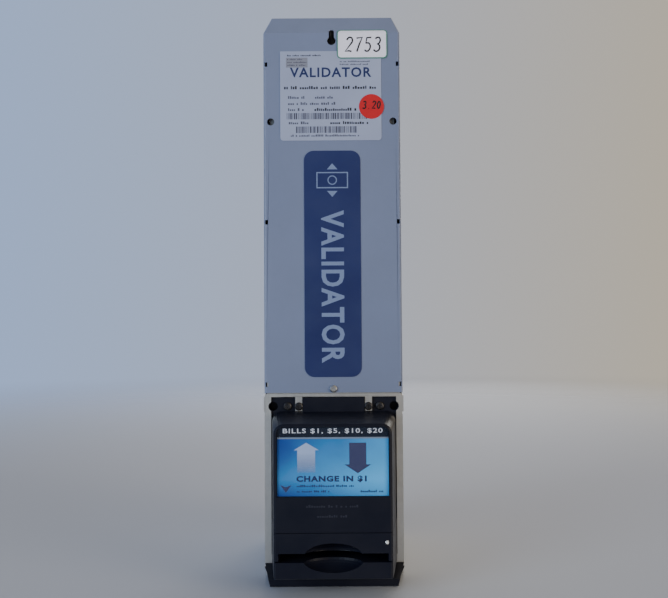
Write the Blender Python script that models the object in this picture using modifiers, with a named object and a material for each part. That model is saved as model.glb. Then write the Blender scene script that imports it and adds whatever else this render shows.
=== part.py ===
"""Bill validator with recycler, for the door of a vending machine.

Metres, +Z up. The bezel looks along -Y, X runs across the width, and the origin is under the middle of
the object's box. FACE_Y is the front plane of the mounting plate; depths below are counted from it.
"""

import math

import bmesh
import bpy
from mathutils import Matrix, Vector

# Driving dimensions
HEIGHT = 0.4265
HOUSING_WIDTH = 0.104
PLATE_WIDTH = 0.1048
BEZEL_DEPTH = 0.048
BODY_DEPTH = 0.1355
FACE_Y = (BEZEL_DEPTH - BODY_DEPTH) / 2
SHEET = 0.0012
GAP = 0.0003

# Heights of the main levels
PLATE_BOTTOM = 0.009
PLATE_TOP = 0.1365
COVER_BOTTOM = 0.1372
COVER_BEND = 0.4109
KEYHOLE_Z = 0.4047
HOLE_ROW = 0.1271
STUD_X = 0.0453
SCREW_XS = (0.0261, 0.0347)
PARTING = 0.0451
CARD = (0.0385, 0.0700, 0.1173, 0.0039)

# Bill path: a flat run, a quarter bend and a rise up the back
PATH_LOW = 0.0255
PATH_GAP = 0.003
BEND_Y, BEND_Z = 0.075, 0.0535
BEND_RADIUS = 0.025
RISE_Y = BEND_Y + BEND_RADIUS
GUIDE_WALL = 0.003

# Gears and rollers
MODULE = 0.001
ADDENDUM, DEDENDUM = 0.75, 1.0
BACKLASH = 0.0002
PRESSURE_ANGLE = math.radians(20)
GEAR_LOW, GEAR_HIGH = 0.0467, 0.0499
BELT_LOW, BELT_HIGH = -0.0499, -0.0467
DRIVE_RADIUS = 0.009
IDLER_RADIUS = 0.0052
PULLEY_RADIUS = 0.0068
SHAFT_RADIUS = 0.0025
MAIN_TEETH, IDLER_TEETH, PINION_TEETH = 20, 30, 12
DRUM_TEETH, STORE_IDLER_TEETH = 48, 18

# Shaft centres as (depth, height)
DRIVE_Z = PATH_LOW + PATH_GAP - 0.001 + DRIVE_RADIUS
INLET = (0.014, DRIVE_Z)
MAIN = (0.066, DRIVE_Z)
RISER = (RISE_Y + 0.0009 - DRIVE_RADIUS, 0.105)
TOP = (RISER[0], 0.2335)
GUIDE_HINGE = (0.0095, 0.005)
DRUM = (0.054, 0.187)
SPOOL = (0.0195, 0.2265)
GATE = (0.0925, 0.2125)
PUSHER_PINION = (0.1132, 0.335)
DOOR_AXIS = (-0.049, 0.1315)

collection = None
cutters = None


def clear_scene():
    for obj in list(bpy.data.objects):
        bpy.data.objects.remove(obj, do_unlink=True)


def new_collections():
    global collection, cutters
    collection = bpy.data.collections.new("bill_validator")
    cutters = bpy.data.collections.new("cutters")
    bpy.context.scene.collection.children.link(collection)
    bpy.context.scene.collection.children.link(cutters)


def material(name, colour, roughness, metallic=0.0, alpha=1.0):
    made = bpy.data.materials.new(name)
    made.use_nodes = True
    shader = made.node_tree.nodes["Principled BSDF"]
    shader.inputs["Base Color"].default_value = (*colour, 1.0)
    shader.inputs["Roughness"].default_value = roughness
    shader.inputs["Metallic"].default_value = metallic
    shader.inputs["Alpha"].default_value = alpha
    return made


# Shapes


def link(name, mesh, finish=None):
    obj = bpy.data.objects.new(name, mesh)
    collection.objects.link(obj)
    if finish:
        mesh.materials.clear()
        mesh.materials.append(finish)
    return obj


def as_cutter(obj):
    """Moves an object to the cutters' collection, out of the model."""
    collection.objects.unlink(obj)
    cutters.objects.link(obj)
    obj.hide_render = True
    obj.display_type = "WIRE"
    return obj


def combine(target, other, operation):
    modifier = target.modifiers.new(other.name, "BOOLEAN")
    modifier.operation = operation
    modifier.object = as_cutter(other)
    return target


def cut(target, *others):
    for other in others:
        combine(target, other, "DIFFERENCE")
    return target


def join(target, *others):
    for other in others:
        combine(target, other, "UNION")
    return target


def box(name, xs, depths, heights, finish=None):
    """A block between two x values, two depths from the plate's plane and two heights."""
    low = Vector((xs[0], FACE_Y + depths[0], heights[0]))
    high = Vector((xs[1], FACE_Y + depths[1], heights[1]))
    mesh = bpy.data.meshes.new(name)
    shape = bmesh.new()
    bmesh.ops.create_cube(shape, size=1.0)
    bmesh.ops.scale(shape, vec=high - low, verts=shape.verts)
    shape.to_mesh(mesh)
    shape.free()
    obj = link(name, mesh, finish)
    obj.location = (low + high) / 2
    return obj


def rod(name, axis, centre, radius, low, high, finish=None, segments=24):
    """A cylinder along X, Y or Z. centre holds the other two places, depths counted from the plate."""
    mesh = bpy.data.meshes.new(name)
    shape = bmesh.new()
    bmesh.ops.create_cone(
        shape, cap_ends=True, segments=segments, radius1=radius, radius2=radius, depth=high - low
    )
    shape.to_mesh(mesh)
    shape.free()
    mesh.shade_smooth()
    mesh.set_sharp_from_angle(angle=math.radians(30))
    obj = link(name, mesh, finish)
    middle = (low + high) / 2
    if axis == "X":
        obj.location = (middle, FACE_Y + centre[0], centre[1])
        obj.rotation_euler = (math.radians(90), 0, math.radians(90))
    elif axis == "Y":
        obj.location = (centre[0], FACE_Y + middle, centre[1])
        obj.rotation_euler = (math.radians(90), 0, 0)
    else:
        obj.location = (centre[0], FACE_Y + centre[1], middle)
    return obj


def arc(centre, radius, start, end, steps):
    """Points along an arc, its angles in degrees."""
    points = []
    for step in range(steps + 1):
        angle = math.radians(start + (end - start) * step / steps)
        points.append((centre[0] + radius * math.cos(angle), centre[1] + radius * math.sin(angle)))
    return points


def circle(centre, radius, steps=20):
    return arc(centre, radius, 0, 360 - 360 / steps, steps - 1)


def rectangle(xs, ys, radius=0.0, steps=4):
    if radius == 0:
        return [(xs[0], ys[0]), (xs[1], ys[0]), (xs[1], ys[1]), (xs[0], ys[1])]
    corners = ((xs[1], ys[1], -1, -1, 0), (xs[0], ys[1], 1, -1, 90),
               (xs[0], ys[0], 1, 1, 180), (xs[1], ys[0], -1, 1, 270))
    points = []
    for x, y, side_x, side_y, start in corners:
        centre = (x + side_x * radius, y + side_y * radius)
        points += arc(centre, radius, start, start + 90, steps)
    return points


def slab(name, plane, outlines, low, high, finish=None, origin=(0.0, 0.0)):
    """A flat piece of one outline and any holes, as thick as low to high along the third axis.

    Plane YZ takes (depth, height) points, XZ takes (x, height) and XY takes (x, depth).
    """
    curve = bpy.data.curves.new(name, "CURVE")
    curve.dimensions = "2D"
    curve.fill_mode = "BOTH"
    curve.extrude = (high - low) / 2
    for points in outlines:
        spline = curve.splines.new("POLY")
        spline.points.add(len(points) - 1)
        spline.use_cyclic_u = True
        for place, point in zip(spline.points, points):
            place.co = (point[0], point[1], 0, 1)
    drawn = bpy.data.objects.new(name + "_outline", curve)
    collection.objects.link(drawn)
    graph = bpy.context.evaluated_depsgraph_get()
    mesh = bpy.data.meshes.new_from_object(drawn.evaluated_get(graph))
    bpy.data.objects.remove(drawn, do_unlink=True)
    shape = bmesh.new()
    shape.from_mesh(mesh)
    bmesh.ops.remove_doubles(shape, verts=shape.verts, dist=1e-6)
    bmesh.ops.recalc_face_normals(shape, faces=shape.faces)
    shape.to_mesh(mesh)
    shape.free()
    mesh.name = name
    obj = link(name, mesh, finish)
    middle = (low + high) / 2
    if plane == "YZ":
        obj.rotation_euler = (math.radians(90), 0, math.radians(90))
        obj.location = (middle, FACE_Y + origin[0], origin[1])
    elif plane == "XZ":
        obj.rotation_euler = (math.radians(90), 0, 0)
        obj.location = (origin[0], FACE_Y + middle, origin[1])
    else:
        obj.location = (origin[0], FACE_Y + origin[1], middle)
    return obj


def turned(name, axis, centre, profile, finish, segments=24):
    """A turned shape along X or Y, from (place, radius) pairs that run from low to high."""
    points = [(profile[-1][0], 0.0), *reversed(profile), (profile[0][0], 0.0)]
    mesh = bpy.data.meshes.new(name)
    vertices = [(radius, 0, place) for place, radius in points]
    edges = [(n, n + 1) for n in range(len(points) - 1)]
    mesh.from_pydata(vertices, edges, [])
    obj = link(name, mesh, finish)
    screw = obj.modifiers.new("turn", "SCREW")
    screw.axis = "Z"
    screw.steps = segments
    screw.render_steps = segments
    screw.use_merge_vertices = True
    screw.merge_threshold = 0.00001
    screw.use_smooth_shade = True
    if axis == "X":
        obj.rotation_euler = (math.radians(90), 0, math.radians(90))
        obj.location = (0, FACE_Y + centre[0], centre[1])
    else:
        obj.rotation_euler = (math.radians(-90), 0, 0)
        obj.location = (centre[0], FACE_Y, centre[1])
    return obj


def turns_about(obj, x, depth, height):
    """Moves an object's origin to its joint's axis and leaves its shape where it is."""
    place = Vector((x, FACE_Y + depth, height))
    obj.data.transform(Matrix.Translation(-(obj.matrix_basis.inverted() @ place)))
    obj.location = place
    return obj


# Gears


def gear_outline(teeth, phase):
    """Stub teeth: a flank from root to base, then straight to the tip, inside the true involute."""
    pitch = MODULE * teeth / 2
    base = pitch * math.cos(PRESSURE_ANGLE)
    tip = pitch + ADDENDUM * MODULE
    root = pitch - DEDENDUM * MODULE
    half = (math.pi * MODULE / 2 - BACKLASH) / (2 * pitch)

    def half_angle(radius):
        angle = math.acos(min(1.0, base / radius))
        at_pitch = math.tan(PRESSURE_ANGLE) - PRESSURE_ANGLE
        return half + at_pitch - (math.tan(angle) - angle)

    foot = max(base, root)
    flank = [(root, half_angle(foot)), (pitch, half_angle(pitch)), (tip, half_angle(tip))]
    points = []
    for tooth in range(teeth):
        middle = phase + 2 * math.pi * tooth / teeth
        for radius, angle in flank:
            points.append((radius * math.cos(middle - angle), radius * math.sin(middle - angle)))
        for radius, angle in reversed(flank):
            points.append((radius * math.cos(middle + angle), radius * math.sin(middle + angle)))
    return points


def direction(start, end):
    return math.atan2(end[1] - start[1], end[0] - start[0])


def meshed(phase, teeth, towards, other_teeth):
    """The phase of a gear that meshes with one of this phase, whose centre lies in this direction."""
    place = (towards - phase) * teeth / (2 * math.pi)
    return towards + math.pi - 2 * math.pi / other_teeth * (0.5 - place)


def gear(name, centre, teeth, phase, finish, hole=None, low=GEAR_LOW, high=GEAR_HIGH):
    outlines = [gear_outline(teeth, phase)]
    if hole:
        outlines.append(circle((0, 0), hole, 16))
    return slab(name, "YZ", outlines, low, high, finish, origin=centre)


def beside(centre, angle, distance):
    """The point at this distance from a centre, its angle in degrees."""
    angle = math.radians(angle)
    return (centre[0] + distance * math.cos(angle), centre[1] + distance * math.sin(angle))


MAIN_IDLER = beside(MAIN, 118, MODULE * (MAIN_TEETH + IDLER_TEETH) / 2)
MOTOR = beside(MAIN_IDLER, 150, MODULE * (IDLER_TEETH + PINION_TEETH) / 2)
STORE_IDLER = beside(DRUM, 225, MODULE * (DRUM_TEETH + STORE_IDLER_TEETH) / 2)
STORE_MOTOR = beside(STORE_IDLER, 225, MODULE * (STORE_IDLER_TEETH + PINION_TEETH) / 2)


# Housing and front


def mounting_plate(zinc):
    """The bare frame the bezel looks through, with hanging tabs, stud notches and notched edges."""
    half, lower_half, notched = PLATE_WIDTH / 2, 0.0518, 0.0507
    notch_low, step, upper_notch = 0.1214, 0.1229, 0.1350
    edge = [(lower_half, PLATE_BOTTOM), (lower_half, notch_low), (notched, notch_low), (notched, step),
            (half, step), (half, upper_notch), (notched, upper_notch), (notched, PLATE_TOP)]
    outline = [*edge, *[(-x, z) for x, z in reversed(edge)]]
    tab_in, tab_out, tab_end, head = 0.0235, 0.0288, 0.1236, 0.1342
    inner, notch = 0.0469, 0.0037
    right = [(inner, 0.017), (inner, HOLE_ROW - 0.0034)]
    right += arc((STUD_X, HOLE_ROW), notch, -64, 64, 5)[1:-1]
    right += [(inner, HOLE_ROW + 0.0034), (inner, head), (tab_out, head)]
    right += [(tab_out, tab_end), (tab_in, tab_end), (tab_in, head)]
    left = [(-x, z) for x, z in reversed(right)]
    holes = [circle((side * 0.0261, HOLE_ROW), 0.0016, 12) for side in (-1, 1)]
    return slab("mounting_plate", "XZ", [outline, right + left, *holes], 0, 0.0015, zinc)


def side_plate(name, side, zinc):
    """A side of the lower housing, folded from the same sheet as the mounting plate."""
    front, back, low = 0.0018, 0.128, 0.001
    outline = [(0.0056, low), (back - 0.004, low), (back, low + 0.004), (back, PLATE_TOP - 0.004),
               (back - 0.004, PLATE_TOP), (front, PLATE_TOP), (front, 0.0093), (0.0056, 0.0093)]
    slot = rectangle((0.028, 0.060), (0.108, 0.112), 0.0019)
    holes = [slot, circle((0.085, 0.120), 0.002, 12), circle((0.118, 0.018), 0.002, 12),
             circle((0.118, 0.120), 0.0025, 12), rectangle((0.086, 0.102), (0.060, 0.070), 0.002)]
    holes.append(circle((GUIDE_HINGE[0], 0.118), 0.002, 12))
    low_x, high_x = (0.0504, 0.0516) if side > 0 else (-0.0516, -0.0504)
    return slab(name, "YZ", [outline, *holes], low_x, high_x, zinc)


def cover_ring(half, front, corner, height):
    """The cover's outline at one height, open at the back."""
    back = 0.1282
    left = arc((-half + corner, front + corner), corner, 180, 270, 3)
    right = arc((half - corner, front + corner), corner, 270, 360, 3)
    points = [(-half, back), *left, *right, (half, back)]
    return [(x, FACE_Y + depth, height) for x, depth in points]


def front_cover(paint):
    """The painted housing: front, sides and hipped top, open at the back and below."""
    half = HOUSING_WIDTH / 2
    rings = [cover_ring(half, 0.0008, 0.0015, COVER_BOTTOM),
             cover_ring(half, 0.0008, 0.0015, COVER_BEND),
             cover_ring(0.0465, 0.0118, 0.0008, HEIGHT)]
    count = len(rings[0])
    faces = []
    for level in range(2):
        for n in range(count - 1):
            low = level * count + n
            faces.append((low, low + 1, low + 1 + count, low + count))
    faces.append(tuple(range(2 * count, 3 * count)))
    mesh = bpy.data.meshes.new("front_cover")
    mesh.from_pydata([point for ring in rings for point in ring], [], faces)
    cover = link("front_cover", mesh, paint)
    solidify = cover.modifiers.new("sheet", "SOLIDIFY")
    solidify.thickness = SHEET
    solidify.offset = -1
    solidify.use_even_offset = True
    for number, height in enumerate((0.165, 0.375)):
        tab = box(f"hinge_tab_{number}", (-0.05195, -0.05085), (0.120, 0.1315), (height, height + 0.01))
        knuckle = rod(f"cover_knuckle_{number}", "Z", DOOR_AXIS, 0.003, height, height + 0.01)
        join(cover, tab, knuckle)
    join(cover, box("keeper", (0.046, 0.0513), (0.1256, 0.1268), (0.262, 0.290)))
    cut(cover, rod("pin_bore", "Z", DOOR_AXIS, 0.0018, 0.15, 0.40, segments=16))
    slot = rectangle((-0.0020, 0.0020), (KEYHOLE_Z, 0.4136), 0.0015)
    cut(cover, slab("keyhole_slot", "XZ", [slot], -0.002, 0.007))
    cut(cover, rod("keyhole", "Y", (0, KEYHOLE_Z), 0.0033, -0.002, 0.004, segments=20))
    cut(cover, rod("screw_hole", "Y", (0, 0.1401), 0.0017, -0.002, 0.004, segments=12))
    for side in (-1, 1):
        cut(cover, rod(f"side_hole_{side}", "Y", (side * 0.0465, 0.3426), 0.0028, -0.002, 0.004,
                       segments=16))
        for height in (0.1434, 0.266, 0.3867):
            near, far = sorted((side * 0.0490, side * 0.0511))
            cut(cover, box(f"slot_{side}_{height}", (near, far), (-0.002, 0.0023),
                           (height - 0.0017, height + 0.0017)))
    return cover


def rear_door(paint):
    """The door behind the bill store, hinged on its left edge as seen from the front."""
    half = 0.0508
    outline = [(-half, 0.140), (half, 0.140), (half, 0.4112), (0.0458, 0.4213), (-0.0458, 0.4213),
               (-half, 0.4112)]
    door = turns_about(slab("rear_door", "XZ", [outline], 0.1290, 0.1303, paint), *DOOR_AXIS, 0.28)
    join(door, box("door_rim", (0.0488, 0.0500), (0.1250, 0.1295), (0.296, 0.404)),
         box("door_rim_low", (0.0488, 0.0500), (0.1250, 0.1295), (0.146, 0.256)))
    for number, height in enumerate((0.1753, 0.3503)):
        top = height + 0.0244
        join(door, rod(f"door_knuckle_{number}", "Z", DOOR_AXIS, 0.003, height, top))
    for number, height in enumerate((0.165, 0.375)):
        cut(door, box(f"tab_notch_{number}", (-0.052, -0.0456), (0.127, 0.134),
                      (height - 0.0003, height + 0.0103)))
    cut(door, rod("door_bore", "Z", DOOR_AXIS, 0.0018, 0.13, 0.43, segments=16),
        rod("lock_hole", "Y", (0.040, 0.276), 0.0043, 0.12, 0.14, segments=20))
    return door


def door_hinge_pin(steel):
    return rod("door_hinge_pin", "Z", DOOR_AXIS, 0.0014, 0.1635, 0.3865, steel, 12)


def door_lock(steel):
    """A coin-slot lock: the knob outside, the cam behind the door."""
    profile = [(0.1229, 0.004), (0.1306, 0.004), (0.1306, 0.0078), (0.1345, 0.0078), (0.1355, 0.0068)]
    lock = turned("door_lock", "Y", (0.040, 0.276), profile, steel)
    cam = rectangle((0.037, 0.043), (0.270, 0.2858), 0.0025)
    join(lock, slab("cam", "XZ", [cam], 0.1230, 0.1245))
    return cut(lock, box("coin_slot", (0.0392, 0.0408), (0.1338, 0.140), (0.266, 0.286)))


def rear_cover(plastic):
    """The lower housing's back and the strip of floor the guide tray latches to."""
    opening = rectangle((0.0085, 0.0335), (0.0575, 0.0665), 0.001)
    outline = rectangle((-0.050, 0.050), (0.0, 0.136), 0.002)
    vents = [rectangle((-0.036, -0.008), (z, z + 0.003), 0.0014, 3) for z in (0.088, 0.096, 0.104, 0.112)]
    cover = slab("rear_cover", "XZ", [outline, opening, *vents], 0.126, 0.1282, plastic)
    join(cover, box("floor", (-0.049, 0.049), (0.111, 0.127), (0.0, 0.002)))
    return cover


def cross_bracket(zinc):
    """The strip that joins the housing to the mounting plate behind their joint."""
    bracket = box("cross_bracket", (-0.050, 0.050), (0.0023, 0.0035), (0.1346, 0.147), zinc)
    join(bracket, rod("screw_boss", "Y", (0, 0.1401), 0.0034, 0.003, 0.0053, segments=16))
    return cut(bracket, rod("boss_hole", "Y", (0, 0.1401), 0.0016, 0.0, 0.008, segments=12))


def screw(name, x, height, front, head, length, steel):
    """A cross-head screw whose head starts at this depth."""
    profile = [(front, head * 0.7), (front + 0.0006, head * 0.94), (front + 0.0011, head),
               (front + 0.0016, head), (front + 0.0016, 0.00125), (front + length, 0.00125)]
    made = turned(name, "Y", (x, height), profile, steel, 18)
    arm, half = head * 0.52, 0.0004
    across = box(name + "_slot_1", (x - arm, x + arm), (front - 0.001, front + 0.0009),
                 (height - half, height + half))
    upright = box(name + "_slot_2", (x - half, x + half), (front - 0.001, front + 0.00085),
                  (height - arm, height + arm))
    return cut(made, across, upright)


def base_shoe(plastic):
    """The black foot below the bezel: it flares out to the plate and carries the tray's hinge."""
    shoe = lofted("base_shoe", [
        (-0.0200, [(-0.0462, 0.0), (0.0462, 0.0), (0.0474, 0.0050), (-0.0474, 0.0050)]),
        (-0.0004, [(-0.0470, 0.0), (0.0470, 0.0), (0.0516, 0.0112), (-0.0516, 0.0112)]),
    ], plastic)
    ledge = [(-0.047, 0.0), (0.047, 0.0), (0.049, 0.0015), (0.052, 0.0085), (-0.052, 0.0085),
             (-0.049, 0.0015)]
    join(shoe, slab("ledge", "XZ", [ledge], -0.0010, 0.0052))
    join(shoe, box("sill", (-0.0425, 0.0425), (-0.0188, -0.0006), (0.004, 0.0131)))
    for side in (-1, 1):
        near, far = sorted((side * 0.0470, side * 0.0495))
        ear = rectangle((0.003, 0.0135), (0.0012, 0.0092), 0.0015)
        join(shoe, slab(f"ear_{side}", "YZ", [ear], near, far))
    cut(shoe, rod("hinge_bore", "X", GUIDE_HINGE, 0.0018, -0.053, 0.053, segments=16))
    return shoe


def lofted(name, rings, finish=None):
    """A solid through rings of points, each (depth, outline in x and height)."""
    mesh = bpy.data.meshes.new(name)
    shape = bmesh.new()
    made = []
    for depth, outline in rings:
        made.append([shape.verts.new((x, FACE_Y + depth, z)) for x, z in outline])
    for first, second in zip(made, made[1:]):
        for n in range(len(first)):
            after = (n + 1) % len(first)
            shape.faces.new((first[n], first[after], second[after], second[n]))
    shape.faces.new(reversed(made[0]))
    shape.faces.new(made[-1])
    bmesh.ops.recalc_face_normals(shape, faces=shape.faces)
    shape.to_mesh(mesh)
    shape.free()
    return link(name, mesh, finish)


def arch(half, low, high, radius, steps=6):
    """An outline with square corners below and round ones above."""
    points = [(-half, low), (half, low)]
    points += arc((half - radius, high - radius), radius, 0, 90, steps)
    points += arc((-half + radius, high - radius), radius, 90, 180, steps)
    return points


def ellipsoid(name, centre, radii):
    mesh = bpy.data.meshes.new(name)
    shape = bmesh.new()
    bmesh.ops.create_uvsphere(shape, u_segments=32, v_segments=16, radius=1.0)
    shape.to_mesh(mesh)
    shape.free()
    mesh.shade_smooth()
    obj = link(name, mesh)
    obj.scale = radii
    obj.location = (centre[0], FACE_Y + centre[1], centre[2])
    return obj


def bezel_body(plastic):
    """The upper bezel: a hollow tapering nose on a flange that sits behind the mounting plate."""
    low = PARTING + 0.0002
    outer = lofted("bezel_body", [
        (-BEZEL_DEPTH, arch(0.0396, low, 0.1183, 0.0058)),
        (-BEZEL_DEPTH + 0.0012, arch(0.0410, low, 0.1196, 0.0070)),
        (-0.0200, arch(0.0442, low, 0.1215, 0.0070)),
        (0.0030, arch(0.0465, low, 0.1235, 0.0070)),
    ], plastic)
    flange = rectangle((-0.0495, 0.0495), (0.016, 0.1341))
    mouth = rectangle((-0.0437, 0.0437), (0.0174, PARTING - 0.0002))
    holes = [circle((side * x, HOLE_ROW), 0.0016, 12) for side in (-1, 1) for x in SCREW_XS]
    join(outer, slab("flange", "XZ", [flange, mouth, *holes], 0.0018, 0.0043))
    join(outer, box("tab", (-0.0230, 0.0230), (-0.0010, 0.0030), (0.1225, 0.1338)))
    for side in (-1, 1):
        join(outer, rod(f"stud_cup_{side}", "Y", (side * STUD_X, HOLE_ROW), 0.0038, 0.0020, 0.0110,
                        segments=20))
        cut(outer, rod(f"stud_hole_{side}", "Y", (side * STUD_X, HOLE_ROW), 0.0033, -0.0005, 0.0098,
                       segments=20))
    hollow = lofted("hollow", [
        (-0.0445, arch(0.0382, low + 0.0022, 0.1165, 0.005, 3)),
        (0.0060, arch(0.0440, low + 0.0022, 0.1210, 0.005, 3)),
    ])
    recess = arch(0.0388, 0.0697, 0.1176, 0.0042, 4)
    return cut(outer, hollow, slab("card_recess", "XZ", [recess], -0.050, -0.0460))


def tapered(name, low, high, back, finish=None):
    """A block with the bezel's taper between two heights."""
    return lofted(name, [
        (-BEZEL_DEPTH, rectangle((-0.0396, 0.0396), (low + 0.0008, high))),
        (-BEZEL_DEPTH + 0.0012, rectangle((-0.0410, 0.0410), (low, high))),
        (-0.0200, rectangle((-0.0442, 0.0442), (low, high))),
        (back, rectangle((-0.0465, 0.0465), (low, high))),
    ], finish)


def mouth_upper(plastic):
    """The upper jaw: side walls, a sloping roof over the slot and a notch for the thumb."""
    low, high = 0.0252, PARTING - 0.0002
    jaw = tapered("mouth_upper", low, high, -0.0004, plastic)
    join(jaw, box("upper_tongue", (-0.0433, 0.0433), (-0.001, 0.0047), (low, high)))
    roof = PATH_LOW + PATH_GAP
    slot = [(-0.051, 0.024), (0.007, 0.024), (0.007, roof), (-0.025, roof), (-0.051, 0.0315)]
    cut(jaw, slab("bill_slot", "YZ", [slot], -0.038, 0.038),
        ellipsoid("thumb_notch", (0, -0.050, 0.030), (0.020, 0.016, 0.0082)),
        rod("led_hole", "Y", (0.0370, 0.0384), 0.0016, -0.050, -0.0446, segments=12))
    return jaw


def mouth_lower(plastic):
    """The lower jaw, dished in the middle so that a finger can push a bill in."""
    jaw = tapered("mouth_lower", 0.0134, 0.0250, -0.0004, plastic)
    join(jaw, box("lower_tongue", (-0.042, 0.042), (-0.001, 0.0054), (0.0176, 0.0250)))
    return cut(jaw, ellipsoid("finger_dish", (0, -0.048, 0.027), (0.021, 0.014, 0.009)))


def card_insert(print_finish):
    """The printed card behind the window."""
    return slab("card_insert", "XZ", [arch(*CARD)], -0.0464, -0.0461, print_finish)


def card_window(clear):
    """The clear sheet over the card, set just below the bezel's face."""
    return slab("card_window", "XZ", [arch(*CARD)], -0.0477, -0.0466, clear)


def status_led(lens):
    profile = [(-BEZEL_DEPTH, 0.0006), (-0.0476, 0.0013), (-0.0449, 0.0014)]
    return turned("status_led", "Y", (0.0370, 0.0384), profile, lens, 12)


def rating_label(paper):
    low, high, corner = 0.328, 0.3966, 0.0025
    points = arc((0.0377 - corner, low + corner), corner, 270, 360, 4)
    points += [(0.0377, high), (-0.0392, high)]
    points += arc((-0.0392 + corner, low + corner), corner, 180, 270, 4)
    return slab("rating_label", "XZ", [points], 0.00045, 0.0007, paper)


def emblem_panel(vinyl):
    panel = rectangle((-0.02135, 0.02135), (0.1489, 0.3202), 0.0073, 6)
    return slab("emblem_panel", "XZ", [panel], 0.00045, 0.0007, vinyl)


# Bill path and transport head


def lower_guide(plastic):
    """The hinged tray under the bill path, with a curved tail that turns bills upward."""
    low = 0.0015
    hinge = GUIDE_HINGE
    outline = arc(hinge, 0.0035, 180, 270, 4)
    outline += [(0.0985, low), (0.1005, 0.0110), (0.1005, 0.0225)]
    outline += arc((BEND_Y, BEND_Z), BEND_RADIUS + PATH_GAP + GUIDE_WALL, -50, -25, 4)
    outline += arc((BEND_Y, BEND_Z), BEND_RADIUS + PATH_GAP, -25, -90, 8)
    outline += [(0.006, PATH_LOW)]
    tray = turns_about(slab("lower_guide", "YZ", [outline], -0.046, 0.046, plastic), 0, *hinge)
    pocket = [(0.0135, 0.0), (0.0965, 0.0), (0.0965, 0.0205), (0.0135, 0.0205)]
    cut(tray, slab("tray_pocket", "YZ", [pocket], -0.0435, 0.0435))
    for side in (-1, 1):
        near, far = sorted((side * 0.030, side * 0.0162))
        for number, depth in enumerate((INLET[0], MAIN[0])):
            cut(tray, box(f"roller_window_{side}_{number}", (near, far), (depth - 0.0062, depth + 0.0062),
                          (0.010, 0.030)))
        near, far = sorted((side * 0.0455, side * 0.052))
        cut(tray, box(f"ear_relief_{side}", (near, far), (0.004, 0.0150), (0.0, 0.0105)))
    for number, depth in enumerate((INLET[0], MAIN[0])):
        cut(tray, rod(f"idler_bore_{number}", "X", (depth, 0.022), 0.0019, -0.040, 0.040, segments=12))
    for side in (-1, 1):
        for number, depth in enumerate((0.040, 0.0505)):
            near, far = sorted((side * 0.0030, side * 0.0130))
            cut(tray, box(f"lens_{side}_{number}", (near, far), (depth - 0.002, depth + 0.002),
                          (0.019, 0.027)))
    cut(tray, box("latch_slot", (-0.0133, 0.0133), (0.090, 0.104), (0.0, 0.0098)))
    return cut(tray, rod("tray_bore", "X", hinge, 0.0018, -0.050, 0.050, segments=16))


def guide_hinge_pin(steel):
    return rod("guide_hinge_pin", "X", GUIDE_HINGE, 0.0015, -0.0498, 0.0498, steel, 12)


def guide_latch(plastic):
    """A sliding latch under the tray's rear edge, with a finger tab."""
    latch = box("guide_latch", (-0.012, 0.012), (0.0978, 0.1107), (0.0022, 0.0044), plastic)
    nose = box("latch_tab", (-0.008, 0.008), (0.1015, 0.1035), (0.0040, 0.0088))
    return join(latch, nose)


def idler_rollers(name, depth, rubber):
    """A pair of pressure rollers on one spindle in the tray."""
    profile = []
    for low, high in ((-0.028, -0.018), (0.018, 0.028)):
        profile += [(low, IDLER_RADIUS), (high, IDLER_RADIUS)]
        if high < 0:
            profile += [(high, 0.0015), (0.018, 0.0015)]
    profile = [(-0.036, 0.0015), (-0.028, 0.0015), *profile, (0.028, 0.0015), (0.036, 0.0015)]
    return turned(name, "X", (depth, 0.022), profile, rubber, 20)


def sensor_board_lower(board):
    return box("sensor_board_lower", (-0.034, 0.034), (0.026, 0.055), (0.0125, 0.0141), board)


def drive_rollers(name, centre, rubber, gear_teeth=0, phase=0.0):
    """A spindle with a pair of drive rollers and a belt pulley, and a gear where one is asked for."""
    end = GEAR_HIGH if gear_teeth else 0.0432
    low, high = BELT_LOW, BELT_HIGH
    profile = [(low - 0.0001, 0.0045), (low, PULLEY_RADIUS), (high, PULLEY_RADIUS), (high, SHAFT_RADIUS)]
    for near, far in ((-0.028, -0.018), (0.018, 0.028)):
        profile += [(near, SHAFT_RADIUS), (near, DRIVE_RADIUS), (far, DRIVE_RADIUS), (far, SHAFT_RADIUS)]
    profile.append((end, SHAFT_RADIUS))
    made = turned(name, "X", centre, profile, rubber, 20)
    if gear_teeth:
        join(made, gear(name + "_gear", centre, gear_teeth, phase, None))
    return made


def transport_belt(rubber):
    """One toothless belt around the four pulleys on the left."""
    centres = [INLET, MAIN, RISER, TOP]
    inner = belt_loop(centres, PULLEY_RADIUS + 0.0003)
    outer = belt_loop(centres, PULLEY_RADIUS + 0.0014)
    return slab("transport_belt", "YZ", [outer, inner], BELT_LOW, BELT_HIGH, rubber)


def belt_loop(centres, radius):
    """The tight loop round pulleys of one size, on the outside of each in turn."""
    points = []
    for n, centre in enumerate(centres):
        before, after = centres[n - 1], centres[(n + 1) % len(centres)]
        start = direction(before, centre) - math.pi / 2
        end = direction(centre, after) - math.pi / 2
        while end < start:
            end += 2 * math.pi
        steps = max(2, int((end - start) / math.radians(15)))
        points += arc(centre, radius, math.degrees(start), math.degrees(end), steps)
    return points


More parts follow.
